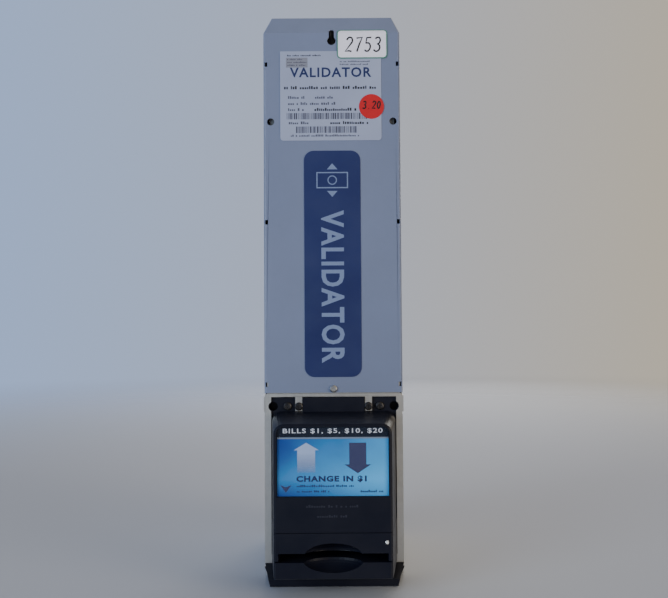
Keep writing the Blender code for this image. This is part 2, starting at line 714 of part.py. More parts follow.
def head_frame(plastic):
    """The upper bill guide between two cheeks that carry the drive spindles."""
    roof = PATH_LOW + PATH_GAP
    guide = [(0.005, roof), (BEND_Y, roof)]
    guide += arc((BEND_Y, BEND_Z), BEND_RADIUS, -90, 0, 8)[1:]
    guide += [(RISE_Y, 0.135), (RISE_Y - GUIDE_WALL, 0.135)]
    guide += arc((BEND_Y, BEND_Z), BEND_RADIUS - GUIDE_WALL, 0, -90, 8)
    guide += [(0.005, roof + GUIDE_WALL)]
    frame = slab("head_frame", "YZ", [guide], -0.0409, 0.0409, plastic)
    cheek = [(0.0052, roof + 0.0004), (BEND_Y, roof + 0.0004)]
    cheek += arc((BEND_Y, BEND_Z), BEND_RADIUS - 0.0004, -90, 0, 8)[1:]
    cheek += [(RISE_Y - 0.0004, 0.1346), (0.0052, 0.1346)]
    window = rectangle((0.016, 0.026), (0.085, 0.112), 0.004)
    slot = rectangle((0.058, 0.078), (0.100, 0.118), 0.004)
    shafts = [circle(centre, 0.0028, 16) for centre in (INLET, MAIN, RISER)]
    bores = [circle(MAIN_IDLER, 0.0022, 12), circle(MOTOR, 0.0022, 12)]
    for side, extra in ((-1, []), (1, bores)):
        near, far = sorted((side * 0.0385, side * 0.0412))
        join(frame, slab(f"cheek_{side}", "YZ", [cheek, window, slot, *shafts, *extra], near, far))
        near, far = sorted((side * 0.0225, side * 0.0395))
        join(frame, box(f"screw_ear_{side}", (near, far), (0.0052, 0.0074), (0.122, 0.1345)))
    join(frame, box("tie_bar", (-0.039, 0.039), (0.0500, 0.0530), (0.124, 0.1335)))
    for side in (-1, 1):
        near, far = sorted((side * 0.0170, side * 0.0290))
        for number, centre in enumerate((INLET, MAIN)):
            cut(frame, box(f"drive_window_{side}_{number}", (near, far),
                           (centre[0] - 0.0088, centre[0] + 0.0088), (0.026, 0.034)))
        cut(frame, box(f"riser_window_{side}", (near, far), (0.094, 0.102),
                       (RISER[1] - 0.0088, RISER[1] + 0.0088)))
        for number, x in enumerate(SCREW_XS):
            cut(frame, rod(f"ear_hole_{side}_{number}", "Y", (side * x, HOLE_ROW), 0.0016, 0.003, 0.010,
                           segments=12))
    return frame


def idler_gear(plastic, phase):
    """The gear between the motor and the main spindle, on its own stub."""
    made = gear("idler_gear", MAIN_IDLER, IDLER_TEETH, phase, plastic)
    return join(made, rod("idler_stub", "X", MAIN_IDLER, 0.0019, 0.0372, 0.0480, segments=12))


def motor_pinion(name, centre, teeth, phase, low, brass):
    """A pinion on the end of a motor's shaft."""
    made = gear(name, centre, teeth, phase, brass)
    return join(made, rod(name + "_shaft", "X", centre, 0.0015, low, 0.0480, segments=12))


def motor(name, centre, radius, low, high, steel, bore=0.0019, bore_depth=0.006):
    """A can motor along X with a raised boss at its shaft end."""
    profile = [(low, radius - 0.0012), (low + 0.0012, radius), (high - 0.0022, radius),
               (high - 0.0012, radius - 0.001), (high - 0.0012, 0.0045), (high, 0.0045)]
    made = turned(name, "X", centre, profile, steel, 24)
    return cut(made, rod(name + "_bore", "X", centre, bore, high - bore_depth, high + 0.002, segments=12))


def sensor_board_upper(board):
    return box("sensor_board_upper", (-0.034, 0.034), (0.0255, 0.0545), (0.0335, 0.0351), board)


def rear_path_guide(plastic):
    """The wall behind the rising bill path, from the tray's tail to the bill store."""
    depth = RISE_Y + PATH_GAP
    outline = [(depth, 0.0475), (depth + 0.0018, 0.0455), (depth + 0.0032, 0.0475),
               (depth + 0.0020, 0.243), (depth, 0.243)]
    wall = slab("rear_path_guide", "YZ", [outline], -0.0375, 0.0375, plastic)
    for number, height in enumerate((0.072, 0.128, 0.160, 0.190)):
        for side in (-1, 1):
            near, far = sorted((side * 0.006, side * 0.014))
            cut(wall, box(f"sensor_window_{number}_{side}", (near, far), (depth - 0.001, depth + 0.004),
                          (height, height + 0.005)))
    return wall


def control_board(board):
    """The main circuit board with its larger chips on the rear face."""
    made = box("control_board", (-0.044, 0.044), (0.1120, 0.1136), (0.040, 0.128), board)
    chips = ((-0.034, -0.016, 0.082, 0.100), (-0.004, 0.010, 0.096, 0.108), (0.020, 0.030, 0.086, 0.096),
             (-0.036, -0.026, 0.108, 0.116), (-0.030, -0.018, 0.050, 0.058))
    for number, (left, right, low, high) in enumerate(chips):
        join(made, box(f"chip_{number}", (left, right), (0.1130, 0.1155), (low, high)))
    for number, (x, z) in enumerate(((0.036, 0.112), (0.036, 0.100))):
        join(made, rod(f"capacitor_{number}", "Y", (x, z), 0.004, 0.1130, 0.1215, segments=16))
    return made


def harness_connector(plastic):
    """The rear socket for the machine's harness, open to the back with rows of pins inside."""
    made = box("harness_connector", (0.009, 0.033), (0.1138, 0.1290), (0.058, 0.066), plastic)
    cut(made, box("socket", (0.010, 0.032), (0.1180, 0.131), (0.0590, 0.0650)))
    for row, height in enumerate((0.0604, 0.0629)):
        for number in range(6):
            x = 0.0115 + number * 0.0036
            join(made, box(f"contact_{row}_{number}", (x, x + 0.0010), (0.1170, 0.1262),
                           (height, height + 0.0010)))
    return made


# Recycler


def recycler_frame(plastic):
    """Two cheeks for the drum and the tape spool, joined by the inner wall of the rising path."""
    outline = [(0.0062, 0.1680), (0.0320, 0.1398), (0.0996, 0.1398), (0.0996, 0.1990), (0.0990, 0.2010),
               (0.0880, 0.2025), (0.0880, 0.2220), (0.0996, 0.2250), (0.0996, 0.2430), (0.0062, 0.2430)]
    holes = [circle(DRUM, 0.0034, 20), circle(SPOOL, 0.0028, 16), circle(TOP, 0.0028, 16)]
    holes.append(rectangle((0.066, 0.084), (0.226, 0.238), 0.003))
    frame = None
    for side in (-1, 1):
        near, far = sorted((side * 0.0441, side * 0.0460))
        cheek, cheek_holes = list(outline), list(holes)
        if side > 0:
            cheek[0:2] = [(0.0062, 0.1398)]
            cheek_holes += [circle(STORE_IDLER, 0.0022, 12), circle(STORE_MOTOR, 0.0048, 16)]
        made = slab("recycler_frame" if frame is None else "far_cheek", "YZ", [cheek, *cheek_holes],
                    near, far, plastic if frame is None else None)
        frame = made if frame is None else join(frame, made)
    join(frame, box("inner_wall", (-0.0450, 0.0450), (RISE_Y - 0.0025, RISE_Y), (0.1410, 0.1960)))
    return join(frame, box("front_tie", (-0.0450, 0.0450), (0.0070, 0.0090), (0.2415, 0.2429)))


def recycler_drum(plastic):
    """The storage drum: flanges either side of the wound tape and bills."""
    profile = [(-0.0462, 0.003), (-0.0372, 0.003), (-0.0372, 0.031), (-0.0352, 0.031),
               (-0.0352, 0.0278), (0.0352, 0.0278), (0.0352, 0.031), (0.0372, 0.031),
               (0.0372, 0.003), (0.0462, 0.003)]
    return turned("recycler_drum", "X", DRUM, profile, plastic, 32)


def drum_gear(plastic, phase):
    """The drum's gear, with lightening holes and a hub."""
    outlines = [gear_outline(DRUM_TEETH, phase)]
    for number in range(6):
        outlines.append(circle(beside((0, 0), number * 60 + 12, 0.0135), 0.0045, 12))
    return slab("drum_gear", "YZ", outlines, GEAR_LOW, GEAR_HIGH, plastic, origin=DRUM)


def recycler_idler_gear(plastic, phase):
    made = gear("recycler_idler_gear", STORE_IDLER, STORE_IDLER_TEETH, phase, plastic)
    return join(made, rod("store_stub", "X", STORE_IDLER, 0.0019, 0.0440, 0.0480, segments=12))


def tape_spool(plastic):
    """The spool the carrier tape winds on to as bills leave the drum."""
    profile = [(-0.0462, 0.0024), (-0.0372, 0.0024), (-0.0372, 0.013), (-0.0352, 0.013),
               (-0.0352, 0.0088), (0.0352, 0.0088), (0.0352, 0.013), (0.0372, 0.013),
               (0.0372, 0.0024), (0.0462, 0.0024)]
    return turned("tape_spool", "X", SPOOL, profile, plastic, 24)


def diverter_gate(plastic):
    """The gate that sends bills to the drum or on up to the store."""
    gate = rod("diverter_gate", "X", GATE, 0.0024, -0.0432, 0.0432, plastic, 16)
    finger = [(0.0, -0.0018), (0.0020, 0.0006), (0.0049, -0.0117), (0.0041, -0.0120)]
    for x in (-0.034, -0.013, 0.005, 0.026):
        join(gate, slab(f"finger_{x}", "YZ", [finger], x, x + 0.008, origin=GATE))
    return gate


def gate_solenoid(steel):
    """The solenoid beside the gate: a coil in a frame with its plunger."""
    made = box("gate_solenoid", (-0.0428, -0.0290), (0.0645, 0.0850), (0.2195, 0.2340), steel)
    cut(made, box("yoke_space", (-0.0440, -0.0280), (0.0663, 0.0832), (0.2209, 0.2326)))
    join(made, rod("coil", "Y", (-0.0359, 0.2268), 0.0050, 0.0650, 0.0845, segments=20))
    return join(made, rod("plunger", "Y", (-0.0359, 0.2268), 0.0018, 0.0840, 0.0885, segments=12))


# Bill store and its pusher


def magazine_box(plastic):
    """The box the bills are stacked in, open towards the pusher, with room for a hanging screw."""
    low, high = 0.2452, 0.4085
    made = box("magazine_box", (-0.0475, 0.0475), (0.0040, 0.0920), (low, high), plastic)
    cut(made, box("magazine_hollow", (-0.0457, 0.0457), (0.0058, 0.0940), (low + 0.0018, high - 0.0018)))
    cut(made, box("keyhole_room", (-0.0065, 0.0065), (0.0030, 0.0200), (0.3985, 0.4095)))
    for number, height in enumerate((0.275, 0.315, 0.355)):
        cut(made, box(f"side_window_{number}", (-0.050, 0.050), (0.020, 0.070), (height, height + 0.012)))
    return made


def bill_rails(zinc):
    """The pair of rails that hold the stack's face, in one frame."""
    outline = rectangle((-0.0455, 0.0455), (0.2456, 0.4082), 0.002)
    opening = rectangle((-0.0275, 0.0275), (0.2535, 0.4030), 0.001)
    return slab("bill_rails", "XZ", [outline, opening], 0.0950, 0.0968, zinc)


def pusher_plate(plastic):
    """The plate that pushes each bill between the rails, with a rack on the back."""
    plate = box("pusher_plate", (-0.0240, 0.0240), (0.1032, 0.1052), (0.2560, 0.4010), plastic)
    pitch_height = PUSHER_PINION[1] - MODULE * PINION_TEETH / 2
    tooth = math.pi * MODULE
    root, tip = pitch_height - 0.0010, pitch_height + 0.0006
    slope = math.tan(PRESSURE_ANGLE)
    wide = tooth / 4 - BACKLASH / 2
    points = [(0.1045, pitch_height - 0.0060), (0.1275, pitch_height - 0.0060), (0.1275, root)]
    for number in range(3, -5, -1):
        middle = PUSHER_PINION[0] + number * tooth
        if 0.1062 < middle < 0.1262:
            points += [(middle + wide + 0.0010 * slope, root), (middle + wide - 0.0006 * slope, tip),
                       (middle - wide + 0.0006 * slope, tip), (middle - wide - 0.0010 * slope, root)]
    points.append((0.1045, root))
    join(plate, slab("rack", "YZ", [points], -0.0040, 0.0040))
    for number, height in enumerate((0.275, 0.375)):
        join(plate, box(f"rib_{number}", (-0.020, 0.020), (0.1045, 0.1070), (height, height + 0.002)))
    return plate


def pusher_pinion(brass):
    """The pinion over the rack and its shaft to the motor; a tooth gap faces straight down."""
    phase = -math.pi / 2 + math.pi / PINION_TEETH
    made = slab("pusher_pinion", "YZ", [gear_outline(PINION_TEETH, phase)], -0.0030, 0.0030, brass,
                origin=PUSHER_PINION)
    return join(made, rod("pinion_shaft", "X", PUSHER_PINION, 0.0015, -0.0305, 0.0085, segments=12))


def stacker_bridge(zinc):
    """The bracket that carries the pusher's pinion, fixed across the rails."""
    ear = rectangle((0.1075, 0.1170), (0.3295, 0.3480), 0.0015)
    hole = circle(PUSHER_PINION, 0.0018, 12)
    made = None
    for side, (low, high) in enumerate(((-0.0080, -0.0068), (0.0068, 0.0080))):
        name = "stacker_bridge" if made is None else "bridge_ear"
        ear_made = slab(name, "YZ", [ear, hole], low, high, zinc if made is None else None)
        made = ear_made if made is None else join(made, ear_made)
    join(made, box("bridge_top", (-0.0080, 0.0080), (0.1076, 0.1169), (0.3464, 0.3479)))
    return made


def pressure_plate(plastic):
    """The sprung plate behind the stack, dished where the pusher reaches in."""
    plate = box("pressure_plate", (-0.0440, 0.0440), (0.0870, 0.0944), (0.2490, 0.4050), plastic)
    cut(plate, box("pusher_recess", (-0.0265, 0.0265), (0.0892, 0.0960), (0.2520, 0.4040)))
    return plate


def pressure_spring(steel):
    """The coil spring between the box and the pressure plate."""
    turns, steps, radius, wire = 6, 12, 0.018, 0.0008
    front, back = 0.0070, 0.0861
    middle = (0.0, 0.327)
    path = bpy.data.curves.new("pressure_spring_path", "CURVE")
    path.dimensions = "3D"
    path.bevel_depth = wire
    path.bevel_resolution = 1
    path.use_fill_caps = True
    path.render_resolution_u = 0
    spline = path.splines.new("POLY")
    total = turns * steps
    spline.points.add(total)
    for n in range(total + 1):
        angle = 2 * math.pi * n / steps
        depth = front + (back - front) * n / total
        spline.points[n].co = (middle[0] + radius * math.cos(angle), FACE_Y + depth,
                               middle[1] + radius * math.sin(angle), 1)
    drawn = bpy.data.objects.new("pressure_spring_path", path)
    collection.objects.link(drawn)
    graph = bpy.context.evaluated_depsgraph_get()
    mesh = bpy.data.meshes.new_from_object(drawn.evaluated_get(graph))
    bpy.data.objects.remove(drawn, do_unlink=True)
    shape = bmesh.new()
    shape.from_mesh(mesh)
    bmesh.ops.remove_doubles(shape, verts=shape.verts, dist=1e-6)
    bmesh.ops.recalc_face_normals(shape, faces=shape.faces)
    shape.to_mesh(mesh)
    shape.free()
    return link("pressure_spring", mesh, steel)


def build():
    clear_scene()
    new_collections()
    paint = material("grey_blue_paint", (0.20, 0.24, 0.32), 0.45)
    zinc = material("zinc_plate", (0.72, 0.70, 0.64), 0.35, 1.0)
    steel = material("bright_steel", (0.60, 0.60, 0.58), 0.30, 1.0)
    dark_steel = material("black_steel", (0.06, 0.06, 0.065), 0.38, 1.0)
    black = material("black_plastic", (0.014, 0.015, 0.018), 0.45)
    grey = material("grey_plastic", (0.16, 0.17, 0.18), 0.5)
    white = material("acetal_gear", (0.78, 0.76, 0.70), 0.45)
    rubber = material("dark_rubber", (0.03, 0.03, 0.03), 0.75)
    brass = material("brass", (0.80, 0.58, 0.28), 0.35, 1.0)
    board = material("circuit_board", (0.02, 0.13, 0.06), 0.45)
    card = material("card_print", (0.10, 0.36, 0.75), 0.5)
    clear = material("clear_window", (0.92, 0.94, 0.96), 0.08, 0.0, 0.25)
    lens = material("led_lens", (0.80, 0.80, 0.78), 0.2)
    paper = material("label_paper", (0.72, 0.73, 0.76), 0.45)
    vinyl = material("navy_vinyl", (0.025, 0.05, 0.16), 0.4)

    mounting_plate(zinc)
    side_plate("side_plate_left", -1, zinc)
    side_plate("side_plate_right", 1, zinc)
    front_cover(paint)
    rear_door(paint)
    door_hinge_pin(steel)
    door_lock(steel)
    rear_cover(black)
    cross_bracket(zinc)
    base_shoe(black)
    bezel_body(black)
    mouth_upper(black)
    mouth_lower(black)
    card_insert(card)
    card_window(clear)
    status_led(lens)
    inner_x, outer_x = SCREW_XS
    screw("bezel_screw_1", -outer_x, HOLE_ROW, 0.0001, 0.0031, 0.0095, dark_steel)
    screw("bezel_screw_2", outer_x, HOLE_ROW, 0.0001, 0.0031, 0.0095, dark_steel)
    screw("bezel_screw_3", -inner_x, HOLE_ROW, -0.0017, 0.0031, 0.0110, dark_steel)
    screw("bezel_screw_4", inner_x, HOLE_ROW, -0.0017, 0.0031, 0.0110, dark_steel)
    screw("cover_screw", 0.0, 0.1401, -0.0009, 0.0028, 0.0070, steel)
    rating_label(paper)
    emblem_panel(vinyl)

    main_phase = 0.0
    idler_phase = meshed(main_phase, MAIN_TEETH, direction(MAIN, MAIN_IDLER), IDLER_TEETH)
    pinion_phase = meshed(idler_phase, IDLER_TEETH, direction(MAIN_IDLER, MOTOR), PINION_TEETH)
    lower_guide(grey)
    guide_hinge_pin(steel)
    guide_latch(white)
    idler_rollers("idler_rollers_front", INLET[0], rubber)
    idler_rollers("idler_rollers_rear", MAIN[0], rubber)
    sensor_board_lower(board)
    head_frame(grey)
    drive_rollers("inlet_rollers", INLET, rubber)
    drive_rollers("main_rollers", MAIN, rubber, MAIN_TEETH, main_phase)
    drive_rollers("riser_rollers", RISER, rubber)
    drive_rollers("top_rollers", TOP, rubber)
    transport_belt(rubber)
    idler_gear(white, idler_phase)
    motor_pinion("motor_pinion", MOTOR, PINION_TEETH, pinion_phase, 0.0340, brass)
    motor("transport_motor", MOTOR, 0.012, 0.004, 0.0380, steel)
    sensor_board_upper(board)
    rear_path_guide(grey)
    control_board(board)
    harness_connector(black)

    drum_phase = 0.0
    store_phase = meshed(drum_phase, DRUM_TEETH, direction(DRUM, STORE_IDLER), STORE_IDLER_TEETH)
    store_pinion_phase = meshed(store_phase, STORE_IDLER_TEETH, direction(STORE_IDLER, STORE_MOTOR),
                                PINION_TEETH)
    recycler_frame(grey)
    recycler_drum(black)
    drum_gear(white, drum_phase)
    recycler_idler_gear(white, store_phase)
    motor_pinion("recycler_pinion", STORE_MOTOR, PINION_TEETH, store_pinion_phase, 0.0400, brass)
    motor("recycler_motor", STORE_MOTOR, 0.0130, 0.0150, 0.0435, steel)
    tape_spool(white)
    diverter_gate(white)
    gate_solenoid(steel)

    magazine_box(grey)
    bill_rails(zinc)
    pusher_plate(white)
    pusher_pinion(brass)
    motor("stacker_motor", PUSHER_PINION, 0.0090, -0.0460, -0.0260, steel)
    stacker_bridge(zinc)
    pressure_plate(grey)
    pressure_spring(steel)


build()
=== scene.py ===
import math
import random

import bmesh
import bpy
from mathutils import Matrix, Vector


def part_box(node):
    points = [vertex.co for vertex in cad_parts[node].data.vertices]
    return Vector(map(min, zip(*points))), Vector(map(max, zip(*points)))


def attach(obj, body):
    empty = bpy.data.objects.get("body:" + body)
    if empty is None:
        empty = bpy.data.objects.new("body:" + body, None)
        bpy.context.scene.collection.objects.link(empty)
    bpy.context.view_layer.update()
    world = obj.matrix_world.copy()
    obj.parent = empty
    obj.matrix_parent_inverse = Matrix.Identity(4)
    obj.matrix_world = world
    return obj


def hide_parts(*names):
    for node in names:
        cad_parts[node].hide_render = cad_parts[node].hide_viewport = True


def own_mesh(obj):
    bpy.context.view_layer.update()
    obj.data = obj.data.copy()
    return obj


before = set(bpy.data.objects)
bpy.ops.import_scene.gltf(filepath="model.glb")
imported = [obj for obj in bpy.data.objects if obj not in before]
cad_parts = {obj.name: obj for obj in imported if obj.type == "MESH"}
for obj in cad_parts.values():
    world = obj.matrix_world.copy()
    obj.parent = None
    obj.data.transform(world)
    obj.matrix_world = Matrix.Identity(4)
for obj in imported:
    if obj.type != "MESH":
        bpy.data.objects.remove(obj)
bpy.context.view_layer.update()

# The camera stands 0.6 m from the mounting plate, a little below the middle of the housing, and looks
# up by two degrees. It is turned by less than a degree about its own axis.
face_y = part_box("mounting_plate")[0][1]
camera_data = bpy.data.cameras.new("camera")
camera_data.lens = 42.95
camera_data.sensor_width = 36.0
camera_data.shift_x = -0.0186
camera = bpy.data.objects.new("camera", camera_data)
camera.location = (0.010, face_y - 0.6, 0.1865)
camera.rotation_euler = (math.radians(92), math.radians(0.4), 0)
bpy.context.scene.collection.objects.link(camera)
bpy.context.scene.camera = camera

# The floor is one plain pale sheet that fades into the backdrop. The room's light is soft: it comes
# from a cool window on the left and a warm one on the right, and less from above and from behind.
FLOOR_DROP = 0.0006
FLOOR_RADIUS = 6.0
FADE_START, FADE_END = 0.3, 2.6
ROOM_COOL, ROOM_WARM = (0.36, 0.48, 0.80, 1.0), (1.00, 0.84, 0.58, 1.0)
BACKDROP_COOL, BACKDROP_WARM = (0.37, 0.51, 0.82, 1.0), (0.57, 0.50, 0.37, 1.0)
ROOM_LIGHT = 0.40
floor_mesh = bpy.data.meshes.new("floor")
floor_shape = bmesh.new()
bmesh.ops.create_circle(floor_shape, cap_ends=True, segments=96, radius=FLOOR_RADIUS)
floor_shape.to_mesh(floor_mesh)
floor_shape.free()
floor = bpy.data.objects.new("floor", floor_mesh)
floor.location.z = -FLOOR_DROP
bpy.context.scene.collection.objects.link(floor)
floor_finish = bpy.data.materials.new("pale floor")
floor_finish.use_nodes = True
tree = floor_finish.node_tree
floor_shader = tree.nodes["Principled BSDF"]
floor_shader.inputs["Base Color"].default_value = (0.40, 0.42, 0.47, 1.0)
floor_shader.inputs["Roughness"].default_value = 0.85
floor_places = tree.nodes.new("ShaderNodeTexCoord")
distance = tree.nodes.new("ShaderNodeVectorMath")
distance.operation = "LENGTH"
tree.links.new(floor_places.outputs["Object"], distance.inputs[0])
fade = tree.nodes.new("ShaderNodeMapRange")
fade.interpolation_type = "SMOOTHSTEP"
fade.inputs["From Min"].default_value = FADE_START
fade.inputs["From Max"].default_value = FADE_END
tree.links.new(distance.outputs["Value"], fade.inputs["Value"])
clear = tree.nodes.new("ShaderNodeBsdfTransparent")
faded = tree.nodes.new("ShaderNodeMixShader")
tree.links.new(fade.outputs["Result"], faded.inputs["Fac"])
tree.links.new(floor_shader.outputs["BSDF"], faded.inputs[1])
tree.links.new(clear.outputs["BSDF"], faded.inputs[2])
tree.links.new(faded.outputs["Shader"], tree.nodes["Material Output"].inputs["Surface"])
floor_mesh.materials.append(floor_finish)

world = bpy.data.worlds.new("room")
bpy.context.scene.world = world
world.use_nodes = True
tree = world.node_tree
direction = tree.nodes.new("ShaderNodeTexCoord")
split = tree.nodes.new("ShaderNodeSeparateXYZ")
tree.links.new(direction.outputs["Generated"], split.inputs["Vector"])
room, backdrop = tree.nodes["Background"], tree.nodes.new("ShaderNodeBackground")
room.inputs["Strength"].default_value = ROOM_LIGHT
for light, cool, warm, spread in ((room, ROOM_COOL, ROOM_WARM, 0.2),
                                  (backdrop, BACKDROP_COOL, BACKDROP_WARM, 0.45)):
    across = tree.nodes.new("ShaderNodeMapRange")
    across.inputs["From Min"].default_value = -spread
    across.inputs["From Max"].default_value = spread
    tree.links.new(split.outputs["X"], across.inputs["Value"])
    tint = tree.nodes.new("ShaderNodeMix")
    tint.data_type = "RGBA"
    tint.inputs["A"].default_value = cool
    tint.inputs["B"].default_value = warm
    tree.links.new(across.outputs["Result"], tint.inputs["Factor"])
    tree.links.new(tint.outputs["Result"], light.inputs["Color"])
seen = tree.nodes.new("ShaderNodeLightPath")
either = tree.nodes.new("ShaderNodeMixShader")
tree.links.new(seen.outputs["Is Camera Ray"], either.inputs["Fac"])
tree.links.new(room.outputs["Background"], either.inputs[1])
tree.links.new(backdrop.outputs["Background"], either.inputs[2])
tree.links.new(either.outputs["Shader"], tree.nodes["World Output"].inputs["Surface"])

WINDOWS = {
    "window left": ((-1.3, -1.25, 0.45), 1.0, 22.5, (0.74, 0.87, 1.0)),
    "window right": ((1.4, -1.0, 0.40), 0.8, 17.0, (1.0, 0.89, 0.74)),
    "ceiling": ((0.1, 0.9, 2.2), 1.6, 5.0, (0.97, 0.98, 1.0)),
    "back wall": ((0.3, 1.9, 0.9), 1.5, 22.0, (1.0, 0.98, 0.95)),
}
for name, (place, size, power, tint) in WINDOWS.items():
    lamp_data = bpy.data.lights.new(name, "AREA")
    lamp_data.shape = "DISK"
    lamp_data.size = size
    lamp_data.energy = power
    lamp_data.color = tint
    lamp = bpy.data.objects.new(name, lamp_data)
    lamp.location = place
    lamp.rotation_euler = (Vector((0, 0, 0.21)) - Vector(place)).to_track_quat("-Z", "Y").to_euler()
    bpy.context.scene.collection.objects.link(lamp)

# Painted housing: 1.2 mm steel sheet, folded and powder coated in a satin grey-blue. The coat has a
# fine orange peel, rubbed corners that show bright metal, and faint grey handling marks. The rear
# door is made of the same sheet in the same coat.


def new_finish(name, roughness=0.5, metallic=0.0):
    """A material and its node tree and shader."""
    finish = bpy.data.materials.new(name)
    finish.use_nodes = True
    shader = finish.node_tree.nodes["Principled BSDF"]
    shader.inputs["Roughness"].default_value = roughness
    shader.inputs["Metallic"].default_value = metallic
    return finish, finish.node_tree, shader


def node(tree, kind, **values):
    """A node with its inputs set by name, underscores for spaces, and its options as plain words."""
    made = tree.nodes.new(kind)
    for key, value in values.items():
        title = key.replace("_", " ").title()
        if title in made.inputs:
            made.inputs[title].default_value = value
        else:
            setattr(made, key, value)
    return made


def maths(tree, operation, first, second=0.5, third=0.0):
    """A Math node; each argument is a number or a socket."""
    made = tree.nodes.new("ShaderNodeMath")
    made.operation = operation
    for socket, value in zip(made.inputs, (first, second, third)):
        if isinstance(value, (int, float)):
            socket.default_value = value
        else:
            tree.links.new(value, socket)
    return made.outputs[0]


def ramp(tree, value, low, high, to_low=0.0, to_high=1.0):
    """Spreads the part of a value between low and high over a new range, clamped."""
    made = tree.nodes.new("ShaderNodeMapRange")
    tree.links.new(value, made.inputs["Value"])
    numbers = (("From Min", low), ("From Max", high), ("To Min", to_low), ("To Max", to_high))
    for socket, number in numbers:
        made.inputs[socket].default_value = number
    return made.outputs["Result"]


def blended(tree, mask, first, second):
    """A colour that goes from first to second as the mask goes from 0 to 1."""
    made = tree.nodes.new("ShaderNodeMix")
    made.data_type = "RGBA"
    tree.links.new(mask, made.inputs["Factor"])
    for socket, value in ((made.inputs["A"], first), (made.inputs["B"], second)):
        if isinstance(value, tuple):
            socket.default_value = (*value, 1.0)
        else:
            tree.links.new(value, socket)
    return made.outputs["Result"]


def places(tree, scale=(1.0, 1.0, 1.0)):
    """The object's own coordinates in metres, stretched by scale."""
    coordinates = tree.nodes.new("ShaderNodeTexCoord")
    mapping = tree.nodes.new("ShaderNodeMapping")
    mapping.inputs["Scale"].default_value = scale
    tree.links.new(coordinates.outputs["Object"], mapping.inputs["Vector"])
    return mapping.outputs["Vector"]


def noise(tree, scale, detail=2.0, stretch=(1.0, 1.0, 1.0)):
    """Noise with cells of about 1/scale metres."""
    made = node(tree, "ShaderNodeTexNoise", scale=scale, detail=detail)
    tree.links.new(places(tree, stretch), made.inputs["Vector"])
    return made.outputs["Fac"]


def new_group(name, inputs, outputs):
    """A shader node group with float inputs and their values, and named outputs."""
    group = bpy.data.node_groups.new(name, "ShaderNodeTree")
    for title, value in inputs.items():
        socket = group.interface.new_socket(title, in_out="INPUT", socket_type="NodeSocketFloat")
        socket.default_value = value
    for title in outputs:
        group.interface.new_socket(title, in_out="OUTPUT", socket_type="NodeSocketFloat")
    return group, group.nodes.new("NodeGroupInput"), group.nodes.new("NodeGroupOutput")


def placed(tree, group, **values):
    """A node group placed in a material with its own values."""
    made = tree.nodes.new("ShaderNodeGroup")
    made.node_tree = group
    for key, value in values.items():
        made.inputs[key.replace("_", " ").title()].default_value = value
    return made


def bumped(tree, shader, height, distance, strength=1.0):
    """Height in 0 to 1 as relief of this depth in metres."""
    made = tree.nodes.new("ShaderNodeBump")
    made.inputs["Strength"].default_value = strength
    made.inputs["Distance"].default_value = distance
    tree.links.new(height, made.inputs["Height"])
    tree.links.new(made.outputs["Normal"], shader.inputs["Normal"])


def colour_from(tree, shader, colour):
    tree.links.new(colour, shader.inputs["Base Color"])


def roughness_from(tree, shader, value):
    tree.links.new(value, shader.inputs["Roughness"])


# Edge wear: a mask of the outer edges, from how far a rounded normal turns away from the flat one,
# broken up by noise.
edge_wear, edge_in, edge_out = new_group(
    "edge wear", {"Radius": 0.0008, "Breakup": 160.0, "Amount": 0.5}, ["Mask"]
)
round_normal = edge_wear.nodes.new("ShaderNodeBevel")
round_normal.samples = 4
edge_wear.links.new(edge_in.outputs["Radius"], round_normal.inputs["Radius"])
flat_normal = edge_wear.nodes.new("ShaderNodeNewGeometry")
turned = edge_wear.nodes.new("ShaderNodeVectorMath")
turned.operation = "DOT_PRODUCT"
edge_wear.links.new(round_normal.outputs["Normal"], turned.inputs[0])
edge_wear.links.new(flat_normal.outputs["Normal"], turned.inputs[1])
on_edge = ramp(edge_wear, turned.outputs["Value"], 0.985, 0.90)
patchy = node(edge_wear, "ShaderNodeTexNoise", detail=4.0)
edge_wear.links.new(places(edge_wear), patchy.inputs["Vector"])
edge_wear.links.new(edge_in.outputs["Breakup"], patchy.inputs["Scale"])
rubbed = maths(edge_wear, "ADD", patchy.outputs["Fac"], edge_in.outputs["Amount"])
rubbed = ramp(edge_wear, rubbed, 0.95, 1.10)
edge_wear.links.new(maths(edge_wear, "MULTIPLY", on_edge, rubbed), edge_out.inputs["Mask"])

# Smudges: soft cloudy marks from handling, with a few darker specks of dust.
smudges, smudge_in, smudge_out = new_group(
    "smudges", {"Size": 30.0, "Specks": 900.0}, ["Clouds", "Dust"]
)
clouds = node(smudges, "ShaderNodeTexNoise", detail=5.0, roughness=0.62)
smudges.links.new(places(smudges), clouds.inputs["Vector"])
smudges.links.new(smudge_in.outputs["Size"], clouds.inputs["Scale"])
smudges.links.new(ramp(smudges, clouds.outputs["Fac"], 0.35, 0.70), smudge_out.inputs["Clouds"])
specks = smudges.nodes.new("ShaderNodeTexVoronoi")
smudges.links.new(places(smudges), specks.inputs["Vector"])
smudges.links.new(smudge_in.outputs["Specks"], specks.inputs["Scale"])
near_speck = ramp(smudges, specks.outputs["Distance"], 0.16, 0.08)
sparse = node(smudges, "ShaderNodeTexNoise", scale=95.0, detail=3.0)
smudges.links.new(places(smudges), sparse.inputs["Vector"])
some = ramp(smudges, sparse.outputs["Fac"], 0.58, 0.66)
smudges.links.new(maths(smudges, "MULTIPLY", near_speck, some), smudge_out.inputs["Dust"])

